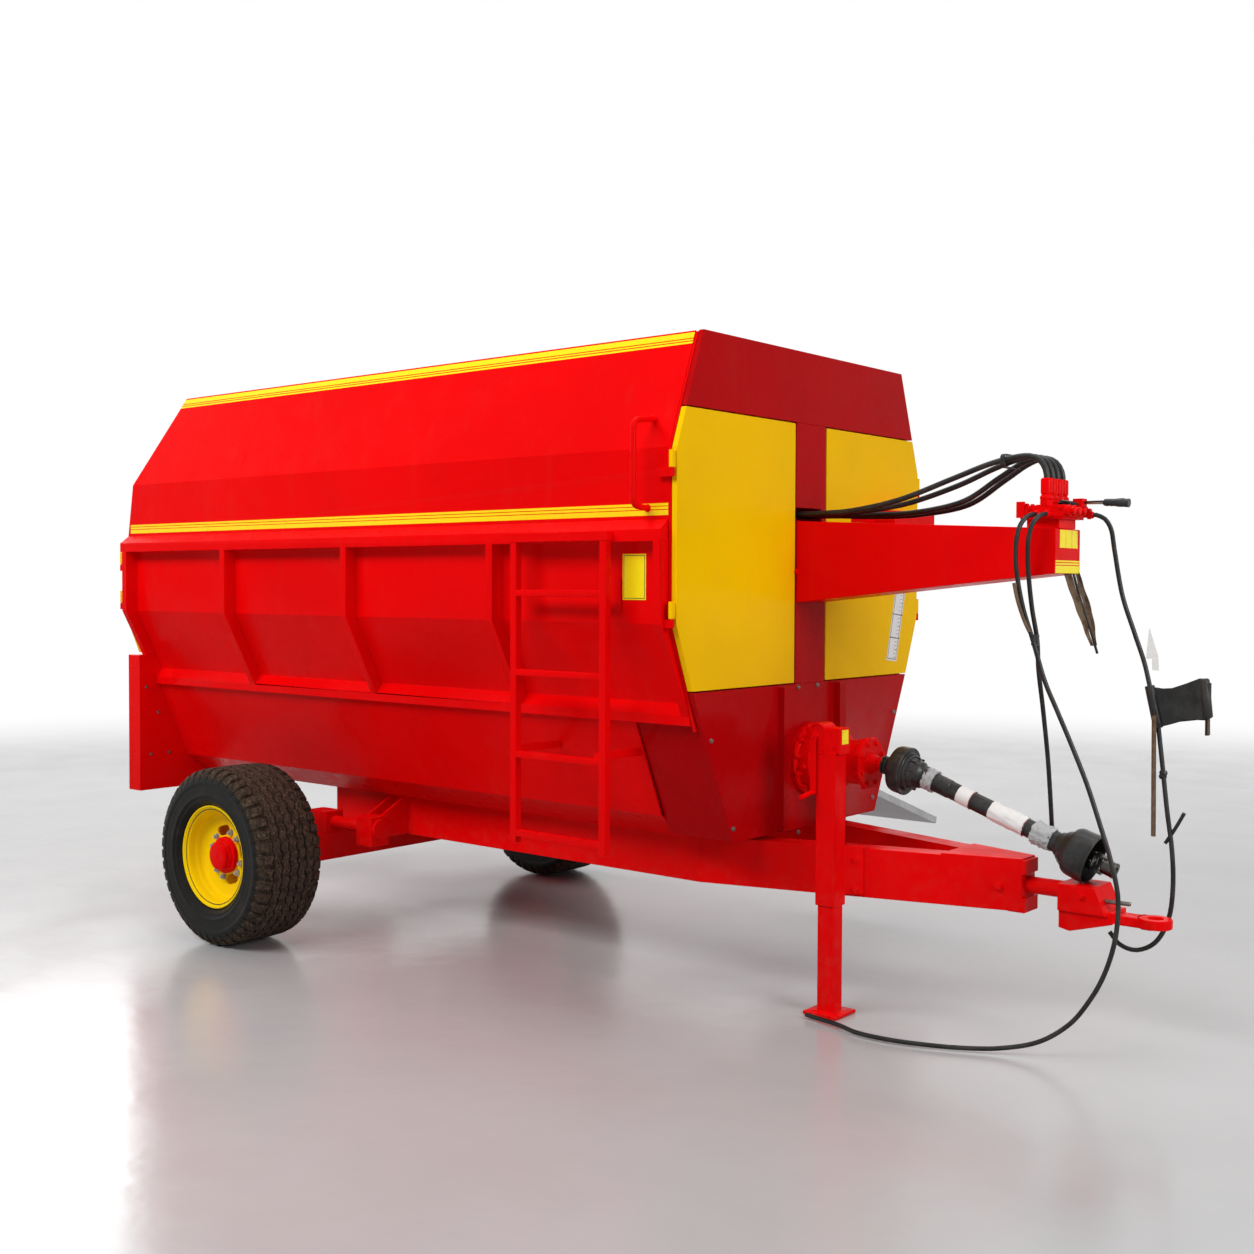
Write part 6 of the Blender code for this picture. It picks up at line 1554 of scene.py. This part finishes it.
trimLook = {
    "clampBolts": ((.349, -.2330, .565), (.349, -.2330, .455)), "clampOut": (.487, -.873, 0),
    "knob": ((0, -.109, 1.622), (.0070, .0110, .0110)),
    "pin": ((1.205, -.030, .5005), (1.292, -.030, .5025), .0075),
    "seam": ((-2.498, -.7263, 2.411), (-2.528, -.8438, 2.084), (-2.526, -.8563, 1.902)), "seamWide": .0030,
    "raised": ((-.3450, -.8430, 1.4700), (-.2640, -.8345, 1.5900)),
}


def makeTrim(look):
    places = [(Vector(point), Vector(look["clampOut"]), 1.0) for point in look["clampBolts"]]
    spread("clampBolts", hexHead(.018, .009), places, "redFlat")
    (x, y, z), (neck, reach, radius) = look["knob"]
    shape = bmesh.new()
    addLathe(shape, frameOf((x, y, z), (1, 0, 0)), (
        (0, 0), (neck, 0), (neck, .004), (radius * .85, .005), (radius, .008), (radius * .85, reach),
        (.003, reach + .002), (0, reach + .002)), 24)
    finished("latchKnob", meshOf(shape), "redFlat", "front_door_right")
    shape = bmesh.new()
    start, end, radius = look["pin"]
    addBar(shape, start, end, radius, steps=20, soft=.002)
    finished("hitchPin", meshOf(shape), "bolt")
    shape = bmesh.new()
    for start, end in zip(look["seam"], look["seam"][1:]):
        start, end = Vector(start), Vector(end)
        out = (end - start).cross(Vector((-1, 0, 0)))
        addTape(shape, start, end, (look["seamWide"], 0, 0), out)
    addBlock(shape, *look["raised"])
    finished("sideSeam", meshOf(shape), "red")


makeTrim(trimLook)
print("fittings made")


for node, nodeLook in nodeLooks.items():
    dressed(node, *nodeLook)
print("solids dressed")


# floor and surroundings

floorLook = {"size": 60, "low": -.0012, "colour": (.46, .46, .462), "fadeFrom": 5.5, "fadeTo": 13}


def makeFloor(look):
    mesh = bpy.data.meshes.new("floor")
    half, low = look["size"] / 2, look["low"]
    mesh.from_pydata(((-half, -half, low), (half, -half, low), (half, half, low), (-half, half, low)), (),
                     ((0, 1, 2, 3),))
    floor = newObject("floor", mesh)
    material, tree, shader = newFinish("paleFloor", look["colour"], .22)
    cloud = fitted(tree, noiseIn(tree, .9, 6, .6), .35, .7)
    tone = blended(tree, cloud, look["colour"], tuple(part * .94 for part in look["colour"]))
    shaded(tree, shader, tone, fitted(tree, noiseIn(tree, 2.2, 6), .2, .8, .17, .27))
    bumped(tree, shader, noiseIn(tree, 9, 3), .0012)
    away = addNode(tree, "ShaderNodeVectorMath", {0: objectPlace(tree)}, operation="LENGTH").outputs["Value"]
    rays = addNode(tree, "ShaderNodeLightPath")
    seen = product(tree, rays.outputs["Is Camera Ray"], rays.outputs["Is Glossy Ray"], "MAXIMUM")
    fade = product(tree, fitted(tree, away, look["fadeFrom"], look["fadeTo"]), seen)
    white = addNode(tree, "ShaderNodeEmission", {"Color": (1, 1, 1, 1), "Strength": 1})
    both = addNode(tree, "ShaderNodeMixShader", {0: fade, 1: shader.outputs[0], 2: white.outputs[0]})
    tree.links.new(both.outputs[0], tree.nodes["Material Output"].inputs[0])
    mesh.materials.append(material)


makeFloor(floorLook)

worldLook = {"ambient": (.86, .88, .92), "strength": .13}


def makeWorld(look):
    # white to look at and in reflections, and a weak cool light on everything
    world = bpy.data.worlds.new("studio")
    bpy.context.scene.world = world
    world.use_nodes = True
    tree = world.node_tree
    rays = addNode(tree, "ShaderNodeLightPath").outputs
    seen = product(tree, rays["Is Glossy Ray"], rays["Is Transmission Ray"], "MAXIMUM")
    seen = product(tree, rays["Is Camera Ray"], seen, "MAXIMUM")
    ambient = tree.nodes["Background"]
    ambient.inputs[0].default_value = (*look["ambient"], 1)
    ambient.inputs[1].default_value = look["strength"]
    shown = addNode(tree, "ShaderNodeBackground", {0: (1, 1, 1, 1), 1: 1})
    mixed = addNode(tree, "ShaderNodeMixShader", {0: seen, 1: ambient.outputs[0], 2: shown.outputs[0]})
    tree.links.new(mixed.outputs[0], tree.nodes["World Output"].inputs[0])


makeWorld(worldLook)
bpy.context.scene.view_settings.view_transform = "Standard"

bpy.context.view_layer.update()
print("finished")
